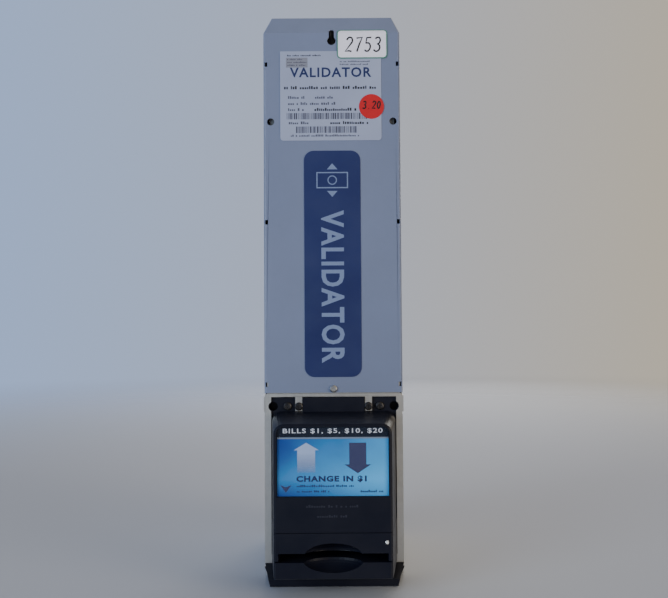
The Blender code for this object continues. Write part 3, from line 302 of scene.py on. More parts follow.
PAINT = (0.180, 0.217, 0.338)
PAINT_DEEP = (0.158, 0.192, 0.306)
PAINT_WORN = (0.34, 0.37, 0.43)
PAINT_MARK = (0.132, 0.155, 0.235)
paint, tree, shader = new_finish("grey-blue powder coat", 0.42)
marks = placed(tree, smudges, size=24.0, specks=700.0)
wear = placed(tree, edge_wear, radius=0.0007, breakup=190.0, amount=0.42)
tone = noise(tree, 9.0, 2.0, (1.0, 1.0, 0.35))
body_colour = blended(tree, ramp(tree, tone, 0.35, 0.65), PAINT, PAINT_DEEP)
marked = maths(tree, "MULTIPLY", marks.outputs["Clouds"], 0.30)
body_colour = blended(tree, marked, body_colour, PAINT_MARK)
dusty = maths(tree, "MULTIPLY", marks.outputs["Dust"], 0.5)
body_colour = blended(tree, dusty, body_colour, (0.30, 0.31, 0.34))
colour_from(tree, shader, blended(tree, wear.outputs["Mask"], body_colour, PAINT_WORN))
roughness_from(tree, shader, ramp(tree, marks.outputs["Clouds"], 0.0, 1.0, 0.38, 0.50))
tree.links.new(maths(tree, "MULTIPLY", wear.outputs["Mask"], 0.7), shader.inputs["Metallic"])
bumped(tree, shader, noise(tree, 1500.0, 3.0), 0.00006, 0.35)


def dress(finish, *names):
    """Gives CAD nodes their finish and shades their round faces smooth."""
    for name in names:
        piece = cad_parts[name]
        for place in piece.material_slots:
            place.material = finish
        piece.data.shade_smooth()
        piece.data.set_sharp_from_angle(angle=math.radians(32))


def soften(width, *names):
    """Rounds the sharp edges of CAD nodes by this width."""
    for name in names:
        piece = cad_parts[name]
        flat = piece.modifiers.new("flat faces", "DECIMATE")
        flat.decimate_type = "DISSOLVE"
        flat.angle_limit = math.radians(1)
        edges = piece.modifiers.new("soft edges", "BEVEL")
        edges.width = width
        edges.segments = 2
        edges.limit_method = "ANGLE"
        edges.angle_limit = math.radians(32)
        edges.harden_normals = True


dress(paint, "front_cover", "rear_door")
soften(0.0004, "front_cover", "rear_door")

# Zinc-plated sheet: the mounting plate, the side plates, the joining strip, the bill store's rails
# and the pinion's bracket are bare stampings with a faint spangle and fine rolling lines.
ZINC = (0.70, 0.69, 0.65)
ZINC_DULL = (0.46, 0.455, 0.44)
zinc, tree, shader = new_finish("zinc-plated sheet", 0.36, 1.0)
marks = placed(tree, smudges, size=45.0, specks=1200.0)
spangle = node(tree, "ShaderNodeTexVoronoi", scale=420.0)
tree.links.new(places(tree), spangle.inputs["Vector"])
grey = tree.nodes.new("ShaderNodeSeparateColor")
tree.links.new(spangle.outputs["Color"], grey.inputs["Color"])
lines = noise(tree, 260.0, 3.0, (6.0, 6.0, 0.25))
plating = blended(tree, maths(tree, "MULTIPLY", grey.outputs["Red"], 0.22), ZINC, (0.57, 0.57, 0.56))
plating = blended(tree, maths(tree, "MULTIPLY", marks.outputs["Clouds"], 0.45), plating, ZINC_DULL)
colour_from(tree, shader, plating)
rough = maths(tree, "ADD", ramp(tree, lines, 0.3, 0.7, 0.27, 0.43),
              maths(tree, "MULTIPLY", marks.outputs["Clouds"], 0.12))
roughness_from(tree, shader, rough)
bumped(tree, shader, lines, 0.00002, 0.4)
ZINC_NODES = ("mounting_plate", "side_plate_left", "side_plate_right", "cross_bracket", "bill_rails",
              "stacker_bridge")
dress(zinc, *ZINC_NODES)
soften(0.0002, "mounting_plate", "side_plate_left", "side_plate_right", "bill_rails")

# Black mouldings: the bezel, its two jaws, the foot, the rear cover, the harness socket and the
# drum. A glass-filled plastic with a fine matte grain, a little polished by hands at its edges.
BLACK = (0.0046, 0.0058, 0.0140)
BLACK_DUSTY = (0.012, 0.0125, 0.020)
BLACK_EDGE = (0.028, 0.029, 0.036)
black, tree, shader = new_finish("black moulded plastic", 0.40)
shader.inputs["Specular IOR Level"].default_value = 0.24
marks = placed(tree, smudges, size=38.0, specks=1500.0)
wear = placed(tree, edge_wear, radius=0.0008, breakup=240.0, amount=0.36)
grain = noise(tree, 2600.0, 2.0)
moulded = blended(tree, maths(tree, "MULTIPLY", marks.outputs["Clouds"], 0.35), BLACK, BLACK_DUSTY)
moulded = blended(tree, maths(tree, "MULTIPLY", marks.outputs["Dust"], 0.4), moulded, (0.08, 0.08, 0.09))
colour_from(tree, shader, blended(tree, wear.outputs["Mask"], moulded, BLACK_EDGE))
gloss = maths(tree, "ADD", ramp(tree, marks.outputs["Clouds"], 0.0, 1.0, 0.34, 0.46),
              maths(tree, "MULTIPLY", grain, 0.06))
roughness_from(tree, shader, gloss)
bumped(tree, shader, grain, 0.00004, 0.35)
dress(black, "bezel_body", "mouth_upper", "mouth_lower", "base_shoe", "rear_cover", "harness_connector",
      "recycler_drum")
soften(0.0006, "mouth_upper", "mouth_lower", "base_shoe")
soften(0.0005, "bezel_body", "rear_cover")

# Grey mouldings: the guide tray, the head frame, the wall of the rising path, the recycler's frame,
# the bill store and its pressure plate. Plain filled nylon with flow marks from the mould.
moulding, tree, shader = new_finish("grey moulded nylon", 0.52)
marks = placed(tree, smudges, size=26.0, specks=1100.0)
flow = noise(tree, 60.0, 3.0, (1.0, 1.0, 0.3))
nylon = blended(tree, ramp(tree, flow, 0.35, 0.65), (0.135, 0.145, 0.155), (0.175, 0.185, 0.195))
nylon = blended(tree, maths(tree, "MULTIPLY", marks.outputs["Clouds"], 0.4), nylon, (0.10, 0.105, 0.11))
nylon = blended(tree, maths(tree, "MULTIPLY", marks.outputs["Dust"], 0.6), nylon, (0.33, 0.32, 0.30))
colour_from(tree, shader, nylon)
roughness_from(tree, shader, ramp(tree, flow, 0.3, 0.7, 0.46, 0.58))
bumped(tree, shader, noise(tree, 1800.0, 2.0), 0.00004, 0.3)
dress(moulding, "lower_guide", "head_frame", "rear_path_guide", "recycler_frame", "magazine_box",
      "pressure_plate")
soften(0.0004, "lower_guide", "magazine_box", "pressure_plate")

# White acetal: gears, spool, gate, latch and pusher, slightly waxy and yellowed, with soft
# patches of dark dust.
acetal, tree, shader = new_finish("white acetal", 0.38)
shader.inputs["Subsurface Weight"].default_value = 0.06
shader.inputs["Subsurface Radius"].default_value = (0.002, 0.0015, 0.001)
marks = placed(tree, smudges, size=80.0, specks=1600.0)
aged = blended(tree, ramp(tree, noise(tree, 30.0, 2.0), 0.35, 0.7), (0.76, 0.74, 0.67), (0.69, 0.66, 0.56))
aged = blended(tree, maths(tree, "MULTIPLY", marks.outputs["Clouds"], 0.28), aged, (0.36, 0.34, 0.30))
colour_from(tree, shader, aged)
roughness_from(tree, shader, ramp(tree, marks.outputs["Clouds"], 0.0, 1.0, 0.34, 0.50))
bumped(tree, shader, noise(tree, 1400.0, 2.0), 0.00003, 0.3)
dress(acetal, "guide_latch", "idler_gear", "drum_gear", "recycler_idler_gear", "tape_spool",
      "diverter_gate", "pusher_plate")

# Rubber: the tyres of the drive and pressure rollers, ground round so that fine lines run across
# them, on dark spindles, and the flat drive belt. The bills have polished them grey in soft patches.
rubber, tree, shader = new_finish("ground rubber", 0.72)
marks = placed(tree, smudges, size=120.0, specks=1400.0)
ground = noise(tree, 900.0, 2.0, (4.0, 0.4, 0.4))
worn = blended(tree, maths(tree, "MULTIPLY", marks.outputs["Clouds"], 0.7), (0.024, 0.024, 0.025),
               (0.075, 0.073, 0.07))
colour_from(tree, shader, worn)
roughness_from(tree, shader, ramp(tree, ground, 0.3, 0.7, 0.60, 0.80))
bumped(tree, shader, ground, 0.00005, 0.5)
dress(rubber, "inlet_rollers", "main_rollers", "riser_rollers", "top_rollers", "idler_rollers_front",
      "idler_rollers_rear", "transport_belt")

# Bright steel: motor cans, the solenoid, pins, screws and the lock. Turned and drawn parts, with fine
# lines round or along them and a trace of oil.
steel, tree, shader = new_finish("bright steel", 0.28, 1.0)
marks = placed(tree, smudges, size=150.0, specks=1800.0)
drawn = noise(tree, 1200.0, 2.0, (0.2, 1.0, 1.0))
oiled = blended(tree, maths(tree, "MULTIPLY", marks.outputs["Clouds"], 0.6), (0.64, 0.64, 0.62),
                (0.36, 0.35, 0.33))
colour_from(tree, shader, oiled)
roughness_from(tree, shader, ramp(tree, drawn, 0.3, 0.7, 0.22, 0.38))
bumped(tree, shader, drawn, 0.00001, 0.4)
dress(steel, "door_hinge_pin", "door_lock", "guide_hinge_pin", "cover_screw", "transport_motor",
      "recycler_motor", "stacker_motor", "gate_solenoid", "pressure_spring")

# Blackened steel: the four bezel screws, with brighter metal where a driver rubbed their edges.
dark_steel, tree, shader = new_finish("blackened steel", 0.40, 0.9)
marks = placed(tree, smudges, size=420.0, specks=3000.0)
wear = placed(tree, edge_wear, radius=0.0003, breakup=900.0, amount=0.40)
oxide = blended(tree, marks.outputs["Clouds"], (0.045, 0.045, 0.052), (0.085, 0.080, 0.080))
colour_from(tree, shader, blended(tree, wear.outputs["Mask"], oxide, (0.30, 0.30, 0.29)))
roughness_from(tree, shader, ramp(tree, marks.outputs["Clouds"], 0.0, 1.0, 0.32, 0.48))
dress(dark_steel, "bezel_screw_1", "bezel_screw_2", "bezel_screw_3", "bezel_screw_4")

# Brass pinions on the three motors, machined, with darker patches of tarnish.
brass, tree, shader = new_finish("machined brass", 0.30, 1.0)
marks = placed(tree, smudges, size=300.0, specks=2500.0)
tarnish = blended(tree, marks.outputs["Clouds"], (0.82, 0.60, 0.30), (0.55, 0.38, 0.18))
colour_from(tree, shader, tarnish)
roughness_from(tree, shader, ramp(tree, marks.outputs["Clouds"], 0.0, 1.0, 0.24, 0.42))
dress(brass, "motor_pinion", "recycler_pinion", "pusher_pinion")

# Circuit boards: glass laminate under a green mask. Copper tracks show through as paler lines on a
# grid, with round tinned pads where they end.
TRACK_PITCH = 0.0025
board, tree, shader = new_finish("green circuit board", 0.32)
split = tree.nodes.new("ShaderNodeSeparateXYZ")
tree.links.new(places(tree, (1 / TRACK_PITCH, 1 / TRACK_PITCH, 1 / TRACK_PITCH)), split.inputs["Vector"])
along = maths(tree, "ADD", split.outputs["Y"], split.outputs["Z"])
across_line = maths(tree, "LESS_THAN", maths(tree, "FRACT", split.outputs["X"]), 0.22)
along_line = maths(tree, "LESS_THAN", maths(tree, "FRACT", along), 0.22)
cell = node(tree, "ShaderNodeTexVoronoi", scale=0.35, feature="F1")
tree.links.new(places(tree, (1 / TRACK_PITCH,) * 3), cell.inputs["Vector"])
cell_tint = tree.nodes.new("ShaderNodeSeparateColor")
tree.links.new(cell.outputs["Color"], cell_tint.inputs["Color"])
way = maths(tree, "GREATER_THAN", cell_tint.outputs["Red"], 0.5)
turn = tree.nodes.new("ShaderNodeMix")
tree.links.new(way, turn.inputs["Factor"])
tree.links.new(across_line, turn.inputs["A"])
tree.links.new(along_line, turn.inputs["B"])
track = turn.outputs["Result"]
mask_green = blended(tree, track, (0.012, 0.085, 0.040), (0.030, 0.170, 0.075))
pad = maths(tree, "LESS_THAN", cell.outputs["Distance"], 0.17)
colour_from(tree, shader, blended(tree, pad, mask_green, (0.68, 0.66, 0.60)))
tree.links.new(maths(tree, "MULTIPLY", pad, 0.9), shader.inputs["Metallic"])
bumped(tree, shader, track, 0.00004, 0.5)
dress(board, "sensor_board_lower", "sensor_board_upper", "control_board")

# The card behind the window: printed paper with a black band above a grey rule, and below it a blue
# field that runs from deep blue at its upper left to sky blue at its right and foot.
card_low, card_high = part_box("card_insert")
BAND_FOOT = card_low[2] + 0.0393
RULE_HEIGHT = 0.0011
card_print, tree, shader = new_finish("card print", 0.42)
shader.inputs["Specular IOR Level"].default_value = 0.15
split = tree.nodes.new("ShaderNodeSeparateXYZ")
tree.links.new(places(tree), split.inputs["Vector"])
rightward = ramp(tree, split.outputs["X"], card_low[0], card_high[0])
upward = ramp(tree, split.outputs["Z"], card_low[2], BAND_FOOT)
brightness = maths(tree, "ADD", maths(tree, "MULTIPLY", rightward, 0.75),
                   ramp(tree, upward, 0.0, 1.0, 0.45, 0.0))
brightness = maths(tree, "SUBTRACT", brightness, ramp(tree, upward, 0.30, 0.0, 0.0, 0.50))
cloudy = ramp(tree, noise(tree, 40.0, 1.0), 0.3, 0.7, -0.08, 0.08)
brightness = ramp(tree, maths(tree, "ADD", brightness, cloudy), 0.0, 1.05)
field = blended(tree, brightness, (0.008, 0.055, 0.300), (0.100, 0.520, 1.0))
above_rule = maths(tree, "GREATER_THAN", split.outputs["Z"], BAND_FOOT)
above_band = maths(tree, "GREATER_THAN", split.outputs["Z"], BAND_FOOT + RULE_HEIGHT)
field = blended(tree, above_rule, field, (0.20, 0.25, 0.34))
field = blended(tree, above_band, field, (0.006, 0.008, 0.020))
paper_grain = noise(tree, 1600.0, 3.0)
colour_from(tree, shader, blended(tree, maths(tree, "MULTIPLY", paper_grain, 0.05), field, (0.1, 0.2, 0.3)))
roughness_from(tree, shader, ramp(tree, paper_grain, 0.3, 0.7, 0.38, 0.48))
dress(card_print, "card_insert")

# Printed shapes: a thin layer of ink on a surface that faces the camera, cut to an outline.
INK = 0.00003


def ink_finish(name, colour, roughness=0.45, metallic=0.0, paler=0.25):
    """An ink, slightly uneven where it went on thin."""
    finish, tree, shader = new_finish(name, roughness, metallic)
    uneven = ramp(tree, noise(tree, 1300.0, 3.0), 0.35, 0.75)
    thin = tuple(channel + (0.5 - channel) * paler for channel in colour)
    colour_from(tree, shader, blended(tree, maths(tree, "MULTIPLY", uneven, 0.5), colour, thin))
    roughness_from(tree, shader, ramp(tree, uneven, 0.0, 1.0, roughness - 0.05, roughness + 0.07))
    return finish


def prism(shape, outline, front, back):
    """Adds one closed flat piece to a bmesh, from an outline of (x, height)."""
    near = [shape.verts.new((x, front, z)) for x, z in outline]
    far = [shape.verts.new((x, back, z)) for x, z in outline]
    shape.faces.new(near)
    shape.faces.new(reversed(far))
    for n in range(len(near)):
        after = (n + 1) % len(near)
        shape.faces.new((near[after], near[n], far[n], far[after]))


def printed(name, outlines, surface_y, finish, thickness=INK):
    """Ink in these outlines, lying on a surface at surface_y that faces the camera."""
    mesh = bpy.data.meshes.new(name)
    shape = bmesh.new()
    for outline in outlines:
        prism(shape, outline, surface_y - 0.00001 - thickness, surface_y - 0.00001)
    bmesh.ops.recalc_face_normals(shape, faces=shape.faces)
    shape.to_mesh(mesh)
    shape.free()
    mesh.materials.append(finish)
    piece = bpy.data.objects.new(name, mesh)
    bpy.context.scene.collection.objects.link(piece)
    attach(piece, "housing")
    return piece


def oblong(left, right, low, high):
    return [(left, low), (right, low), (right, high), (left, high)]


def lettering(name, words, centre, wide, tall, surface_y, finish, quarter_turn=False, bold=0.0):
    """Words stretched into a box this wide and tall, read downward after a quarter turn."""
    text = bpy.data.curves.new(name, "FONT")
    text.body = words
    text.size = 1.0
    text.space_character = 1.15
    text.offset = bold
    text.extrude = 0.5
    text.resolution_u = 3
    drawn = bpy.data.objects.new(name + " drawn", text)
    bpy.context.scene.collection.objects.link(drawn)
    graph = bpy.context.evaluated_depsgraph_get()
    mesh = bpy.data.meshes.new_from_object(drawn.evaluated_get(graph))
    bpy.data.objects.remove(drawn, do_unlink=True)
    xs = [vertex.co.x for vertex in mesh.vertices]
    ys = [vertex.co.y for vertex in mesh.vertices]
    for vertex in mesh.vertices:
        u = (vertex.co.x - min(xs)) / (max(xs) - min(xs)) - 0.5
        v = (vertex.co.y - min(ys)) / (max(ys) - min(ys)) - 0.5
        x, z = (v * tall, -u * wide) if quarter_turn else (u * wide, v * tall)
        layer = surface_y - 0.00001 - INK * (vertex.co.z + 0.5)
        vertex.co = (centre[0] + x, layer, centre[1] + z)
    shape = bmesh.new()
    shape.from_mesh(mesh)
    bmesh.ops.remove_doubles(shape, verts=shape.verts, dist=1e-7)
    bmesh.ops.recalc_face_normals(shape, faces=shape.faces)
    shape.to_mesh(mesh)
    shape.free()
    mesh.materials.clear()
    mesh.materials.append(finish)
    piece = bpy.data.objects.new(name, mesh)
    bpy.context.scene.collection.objects.link(piece)
    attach(piece, "housing")
    return piece


def greeked(left, right, middle, tall, seed, letter=0.0011, gap=0.35):
    """A line of text too small to read: rows of short strokes with gaps between words."""
    draw = random.Random(seed)
    strokes = []
    x = left
    while x < right - letter:
        wide = letter * draw.uniform(0.55, 0.95)
        high = tall * draw.choice((0.62, 0.62, 0.80, 1.0))
        low = middle - tall / 2
        strokes.append(oblong(x, x + wide, low, low + high))
        x += wide + letter * gap
        if draw.random() < 0.17:
            x += letter * 1.1
    return strokes


# The card's print: white amounts on the band, a pale arrow for bills going in that fades out towards
# its tail, an indigo arrow for change coming out, one bold line, two fine ones and a small mark.
card_front = card_low[1]
white_ink = ink_finish("white print", (0.62, 0.66, 0.76), paler=0.0)
indigo_ink = ink_finish("indigo print", (0.028, 0.034, 0.120), paler=0.04)
navy_ink = ink_finish("navy print", (0.006, 0.016, 0.090), paler=0.04)
lettering("band_amounts", "BILLS $1, $5, $10, $20", (0.0, card_low[2] + 0.0446), 0.0690, 0.0038,
          card_front, white_ink, bold=0.015)
lettering("change_line", "CHANGE IN $1", (-0.0010, card_low[2] + 0.0116), 0.0485, 0.0046, card_front,
          navy_ink, bold=0.045)
printed("fine_lines", greeked(-0.0250, 0.0150, card_low[2] + 0.0070, 0.0014, 3)
        + greeked(-0.0250, -0.0020, card_low[2] + 0.0033, 0.0014, 4)
        + greeked(0.0190, 0.0350, card_low[2] + 0.0033, 0.0017, 5), card_front, navy_ink)
small_mark = [[(-0.0365, card_low[2] + 0.0078), (-0.0325, card_low[2] + 0.0025),
               (-0.0285, card_low[2] + 0.0078), (-0.0325, card_low[2] + 0.0062)]]
printed("corner_mark", small_mark, card_front, indigo_ink)


def arrow(tip, shoulder, tail, shaft_half, wing_half, middle):
    """An upright arrow's outline, its tip at one height and its tail at another."""
    return [(middle, tip), (middle - wing_half, shoulder), (middle - shaft_half, shoulder),
            (middle - shaft_half, tail), (middle + shaft_half, tail), (middle + shaft_half, shoulder),
            (middle + wing_half, shoulder)]


out_arrow = arrow(card_low[2] + 0.0155, card_low[2] + 0.0216, card_low[2] + 0.0365, 0.0059, 0.0092, 0.0172)
violet_ink = ink_finish("violet print", (0.034, 0.040, 0.120), paler=0.03)
printed("change_arrow", [out_arrow], card_front, violet_ink)
fading, tree, shader = new_finish("fading white print", 0.42)
shader.inputs["Base Color"].default_value = (0.40, 0.52, 0.80, 1.0)
split = tree.nodes.new("ShaderNodeSeparateXYZ")
tree.links.new(places(tree), split.inputs["Vector"])
strength = ramp(tree, split.outputs["Z"], card_low[2] + 0.0165, card_low[2] + 0.0300, 0.12, 0.95)
speckled = ramp(tree, noise(tree, 2200.0, 2.0), 0.2, 0.8, 0.94, 1.0)
tree.links.new(maths(tree, "MULTIPLY", strength, speckled), shader.inputs["Alpha"])
in_arrow = arrow(card_low[2] + 0.0367, card_low[2] + 0.0315, card_low[2] + 0.0162, 0.0062, 0.0087, -0.0184)
printed("insert_arrow", [in_arrow], card_front, fading)

# The window over the card: clear polished plastic, thin enough to show the print as it is.
window_clear, tree, shader = new_finish("clear window", 0.06)
shader.inputs["Base Color"].default_value = (0.10, 0.12, 0.16, 1.0)
shader.inputs["IOR"].default_value = 1.49
haze = placed(tree, smudges, size=60.0, specks=1500.0)
tree.links.new(ramp(tree, haze.outputs["Clouds"], 0.0, 1.0, 0.015, 0.045), shader.inputs["Alpha"])
roughness_from(tree, shader, ramp(tree, haze.outputs["Clouds"], 0.0, 1.0, 0.04, 0.12))
dress(window_clear, "card_window")

# The status lamp: a small milky lens, a little uneven in colour.
lens, tree, shader = new_finish("milky lens", 0.15)
shader.inputs["Subsurface Weight"].default_value = 0.3
shader.inputs["Subsurface Radius"].default_value = (0.001, 0.001, 0.001)
colour_from(tree, shader, blended(tree, noise(tree, 900.0, 1.0), (0.85, 0.85, 0.84), (0.66, 0.68, 0.70)))
dress(lens, "status_led")

# Faint marks on the bezel: two rows of fine strokes below the window, in a grey hardly lighter than
# the moulding. They stand for words that can't be read.
bezel_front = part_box("bezel_body")[0][1]
worn_ink = ink_finish("worn grey print", (0.014, 0.016, 0.030), 0.40, 0.0, 0.02)
printed("bezel_row_upper", greeked(-0.0185, 0.0185, 0.0634, 0.0017, 41, 0.0015), bezel_front, worn_ink)
printed("bezel_row_lower", greeked(-0.0110, 0.0110, 0.0566, 0.0017, 42, 0.0015), bezel_front, worn_ink)

# Rating label: silver-white film with rounded lower corners. It carries one wide navy word, and rows
# of fine print, a grey block and two barcodes that can't be read.
LABEL_SILVER = (0.40, 0.45, 0.62)
LABEL_SHADE = (0.35, 0.39, 0.55)
label_low, label_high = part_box("rating_label")
label_front = label_low[1]
film, tree, shader = new_finish("silver label film", 0.36, 0.15)
marks = placed(tree, smudges, size=32.0, specks=900.0)
silver = blended(tree, ramp(tree, noise(tree, 18.0, 2.0), 0.35, 0.7), LABEL_SILVER, LABEL_SHADE)
silver = blended(tree, maths(tree, "MULTIPLY", marks.outputs["Clouds"], 0.18), silver, (0.25, 0.27, 0.36))
colour_from(tree, shader, silver)
roughness_from(tree, shader, ramp(tree, marks.outputs["Clouds"], 0.0, 1.0, 0.30, 0.44))
bumped(tree, shader, noise(tree, 300.0, 2.0), 0.00003, 0.25)
dress(film, "rating_label")
grey_ink = ink_finish("grey print", (0.055, 0.058, 0.095), paler=0.12)
black_ink = ink_finish("black print", (0.008, 0.008, 0.014), paler=0.04)
pale_ink = ink_finish("pale grey print", (0.22, 0.23, 0.29), paler=0.05)


def from_label(x, down):
    """A place on the label, from its left edge and its top edge."""
    return label_low[0] + x, label_high[2] - down


def bars(left, right, middle, tall, seed):
    """A row of upright bars of uneven width."""
    draw = random.Random(seed)
    strokes = []
    x = left
    while x < right:
        wide = draw.choice((0.00035, 0.00035, 0.0007, 0.0011))
        strokes.append(oblong(x, x + wide, middle - tall / 2, middle + tall / 2))
        x += wide + draw.choice((0.0004, 0.0004, 0.0008))
    return strokes


def label_row(name, left, right, down, tall, finish, seed, letter=0.0012):
    start, height = from_label(left, down)
    end, _ = from_label(right, down)
    return printed(name, greeked(start, end, height, tall, seed, letter), label_front, finish)


lettering("label_word", "VALIDATOR", (label_low[0] + 0.0385, label_high[2] - 0.0163), 0.0620, 0.0076,
          label_front, navy_ink, bold=0.022)
label_row("label_maker", 0.0055, 0.0320, 0.0032, 0.0012, black_ink, 11, 0.0009)
label_row("label_address_1", 0.0055, 0.0185, 0.0062, 0.0011, grey_ink, 12, 0.0009)
label_row("label_address_2", 0.0055, 0.0205, 0.0084, 0.0011, grey_ink, 13, 0.0009)
label_row("label_address_3", 0.0055, 0.0195, 0.0106, 0.0011, grey_ink, 14, 0.0009)
label_row("label_patents_1", 0.0455, 0.0690, 0.0080, 0.0011, grey_ink, 15, 0.0009)
label_row("label_patents_2", 0.0455, 0.0680, 0.0102, 0.0011, grey_ink, 16, 0.0009)
label_row("label_kind", 0.0030, 0.0735, 0.0280, 0.0024, black_ink, 17, 0.0016)
label_row("label_voltage", 0.0060, 0.0200, 0.0355, 0.0021, grey_ink, 18, 0.0014)
label_row("label_voltage_value", 0.0265, 0.0415, 0.0355, 0.0021, grey_ink, 19, 0.0014)
label_row("label_current", 0.0060, 0.0420, 0.0402, 0.0021, grey_ink, 20, 0.0014)
label_row("label_part", 0.0060, 0.0190, 0.0448, 0.0021, grey_ink, 21, 0.0014)
label_row("label_part_value", 0.0260, 0.0600, 0.0448, 0.0023, black_ink, 22, 0.0015)
label_row("label_serial", 0.0065, 0.0230, 0.0550, 0.0021, grey_ink, 23, 0.0014)
label_row("label_serial_value", 0.0380, 0.0680, 0.0550, 0.0023, black_ink, 24, 0.0015)
label_row("label_foot", 0.0080, 0.0600, 0.0648, 0.0016, grey_ink, 25, 0.0011)
start, height = from_label(0.0050, 0.0499)
printed("barcode_part", bars(start, start + 0.0600, height, 0.0048, 26), label_front, grey_ink)
start, height = from_label(0.0120, 0.0603)
printed("barcode_serial", bars(start, start + 0.0450, height, 0.0050, 27), label_front, grey_ink)
start, height = from_label(0.0060, 0.0085)
printed("label_block", [oblong(start - 0.0015, start + 0.0150, height - 0.0040, height + 0.0036)],
        label_front + 0.000005, pale_ink, 0.00001)

# Navy panel: printed vinyl with a faint border and a fine leather grain. A banknote in a ring and one
# generic word, read downward, are printed on it in a pale silver-blue.
panel_low, panel_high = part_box("emblem_panel")
panel_front = panel_low[1]
vinyl, tree, shader = new_finish("navy vinyl", 0.36)
marks = placed(tree, smudges, size=28.0, specks=800.0)
navy = blended(tree, ramp(tree, noise(tree, 14.0, 2.0), 0.35, 0.7), (0.011, 0.020, 0.098),
               (0.017, 0.028, 0.122))
navy = blended(tree, maths(tree, "MULTIPLY", marks.outputs["Clouds"], 0.25), navy, (0.030, 0.042, 0.115))
navy = blended(tree, maths(tree, "MULTIPLY", marks.outputs["Dust"], 0.4), navy, (0.14, 0.16, 0.21))
colour_from(tree, shader, navy)
roughness_from(tree, shader, ramp(tree, marks.outputs["Clouds"], 0.0, 1.0, 0.30, 0.42))
bumped(tree, shader, noise(tree, 1200.0, 3.0), 0.00004, 0.35)
dress(vinyl, "emblem_panel")
silver_ink = ink_finish("silver-blue print", (0.20, 0.265, 0.45), 0.35, 0.2, 0.03)
word_high = panel_high[2] - 0.0455
word_low = panel_low[2] + 0.0105
lettering("panel_word", "VALIDATOR", (0.0, (word_high + word_low) / 2), word_high - word_low, 0.0175,
          panel_front, silver_ink, quarter_turn=True, bold=0.028)


def ring(centre, outer, inner, start=0.0, end=360.0, steps=40):
    """A band between two circles, as a run of short closed pieces."""
    outlines = []
    for n in range(steps):
        first = math.radians(start + (end - start) * n / steps)
        second = math.radians(start + (end - start) * (n + 1) / steps)
        outlines.append([(centre[0] + radius * math.cos(angle), centre[1] + radius * math.sin(angle))
                         for radius, angle in ((inner, first), (outer, first), (outer, second),
                                               (inner, second))])
    return outlines


def frame_of(left, right, low, high, line):
    """A rectangle drawn in lines of this width."""
    return [oblong(left, right, low, low + line), oblong(left, right, high - line, high),
            oblong(left, left + line, low + line, high - line),
            oblong(right - line, right, low + line, high - line)]


emblem = (0.0, panel_high[2] - 0.0225)
EMBLEM_LINE = 0.0009
note = frame_of(emblem[0] - 0.0120, emblem[0] + 0.0120, emblem[1] - 0.0062, emblem[1] + 0.0062, EMBLEM_LINE)
note += ring(emblem, 0.0036, 0.0028, steps=24)
above = [(emblem[0] - 0.0040, emblem[1] + 0.0082), (emblem[0] + 0.0040, emblem[1] + 0.0082),
         (emblem[0], emblem[1] + 0.0128)]
below = [(emblem[0] - 0.0040, emblem[1] - 0.0082), (emblem[0] + 0.0040, emblem[1] - 0.0082),
         (emblem[0], emblem[1] - 0.0128)]
printed("panel_emblem", note + [above, below], panel_front, silver_ink)

# Stock sticker: a white paper label with round corners and a thin green border. It overlaps the
# label's corner and is pressed over the fold at the housing's top. Its number is written by hand.
cover_low, cover_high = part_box("front_cover")
cover_front = cover_low[1]
STICKER_CENTRE = (0.0234, cover_high[2] - 0.0244)
STICKER_WIDE, STICKER_TALL, STICKER_CORNER = 0.0385, 0.0228, 0.0032
FOLD_HEIGHT = cover_high[2] - 0.0156
FOLD_SLOPE = 0.0110 / 0.0156
STICKER_LIFT = 0.00055


def over_cover(z, lift):
    """The depth just in front of the cover at a height, bent back smoothly over its top fold."""
    beyond = z - FOLD_HEIGHT
    bend = (beyond + math.sqrt(beyond * beyond + 0.000001)) / 2
    return cover_front - lift + FOLD_SLOPE * bend


def rounded(centre, wide, tall, corner, steps=6):
    points = []
    for x_side, z_side, start in ((1, 1, 0), (-1, 1, 90), (-1, -1, 180), (1, -1, 270)):
        middle = (centre[0] + x_side * (wide / 2 - corner), centre[1] + z_side * (tall / 2 - corner))
        for n in range(steps + 1):
            angle = math.radians(start + 90 * n / steps)
            points.append((middle[0] + corner * math.cos(angle), middle[1] + corner * math.sin(angle)))
    return points


def pressed(name, outline, lift, thickness, finish):
    """A thin sheet cut to an outline, in rows so that it can follow the fold."""
    mesh = bpy.data.meshes.new(name)
    shape = bmesh.new()
    shape.faces.new([shape.verts.new((x, 0.0, z)) for x, z in outline])
    low, high = min(z for _, z in outline), max(z for _, z in outline)
    rows = 24
    for n in range(1, rows):
        everything = list(shape.verts) + list(shape.edges) + list(shape.faces)
        bmesh.ops.bisect_plane(shape, geom=everything, plane_co=(0, 0, low + (high - low) * n / rows),
                               plane_no=(0, 0, 1))
    for vertex in shape.verts:
        vertex.co.y = over_cover(vertex.co.z, lift)
    bmesh.ops.recalc_face_normals(shape, faces=shape.faces)
    for face in shape.faces:
        if face.normal.y > 0:
            face.normal_flip()
    shape.to_mesh(mesh)
    shape.free()
    mesh.materials.append(finish)
    piece = bpy.data.objects.new(name, mesh)
    bpy.context.scene.collection.objects.link(piece)
    thick = piece.modifiers.new("paper", "SOLIDIFY")
    thick.thickness = thickness
    thick.offset = -1
    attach(piece, "housing")
    return piece


def paper_finish(name, colour, shade):
    """Coated paper with a soft fibre grain and a little grime."""
    finish, tree, shader = new_finish(name, 0.48)
    marks = placed(tree, smudges, size=60.0, specks=1000.0)
    fibres = noise(tree, 1500.0, 4.0)
    paper = blended(tree, maths(tree, "MULTIPLY", marks.outputs["Clouds"], 0.5), colour, shade)
    colour_from(tree, shader, paper)
    roughness_from(tree, shader, ramp(tree, fibres, 0.3, 0.7, 0.42, 0.56))
    bumped(tree, shader, fibres, 0.00003, 0.4)
    return finish


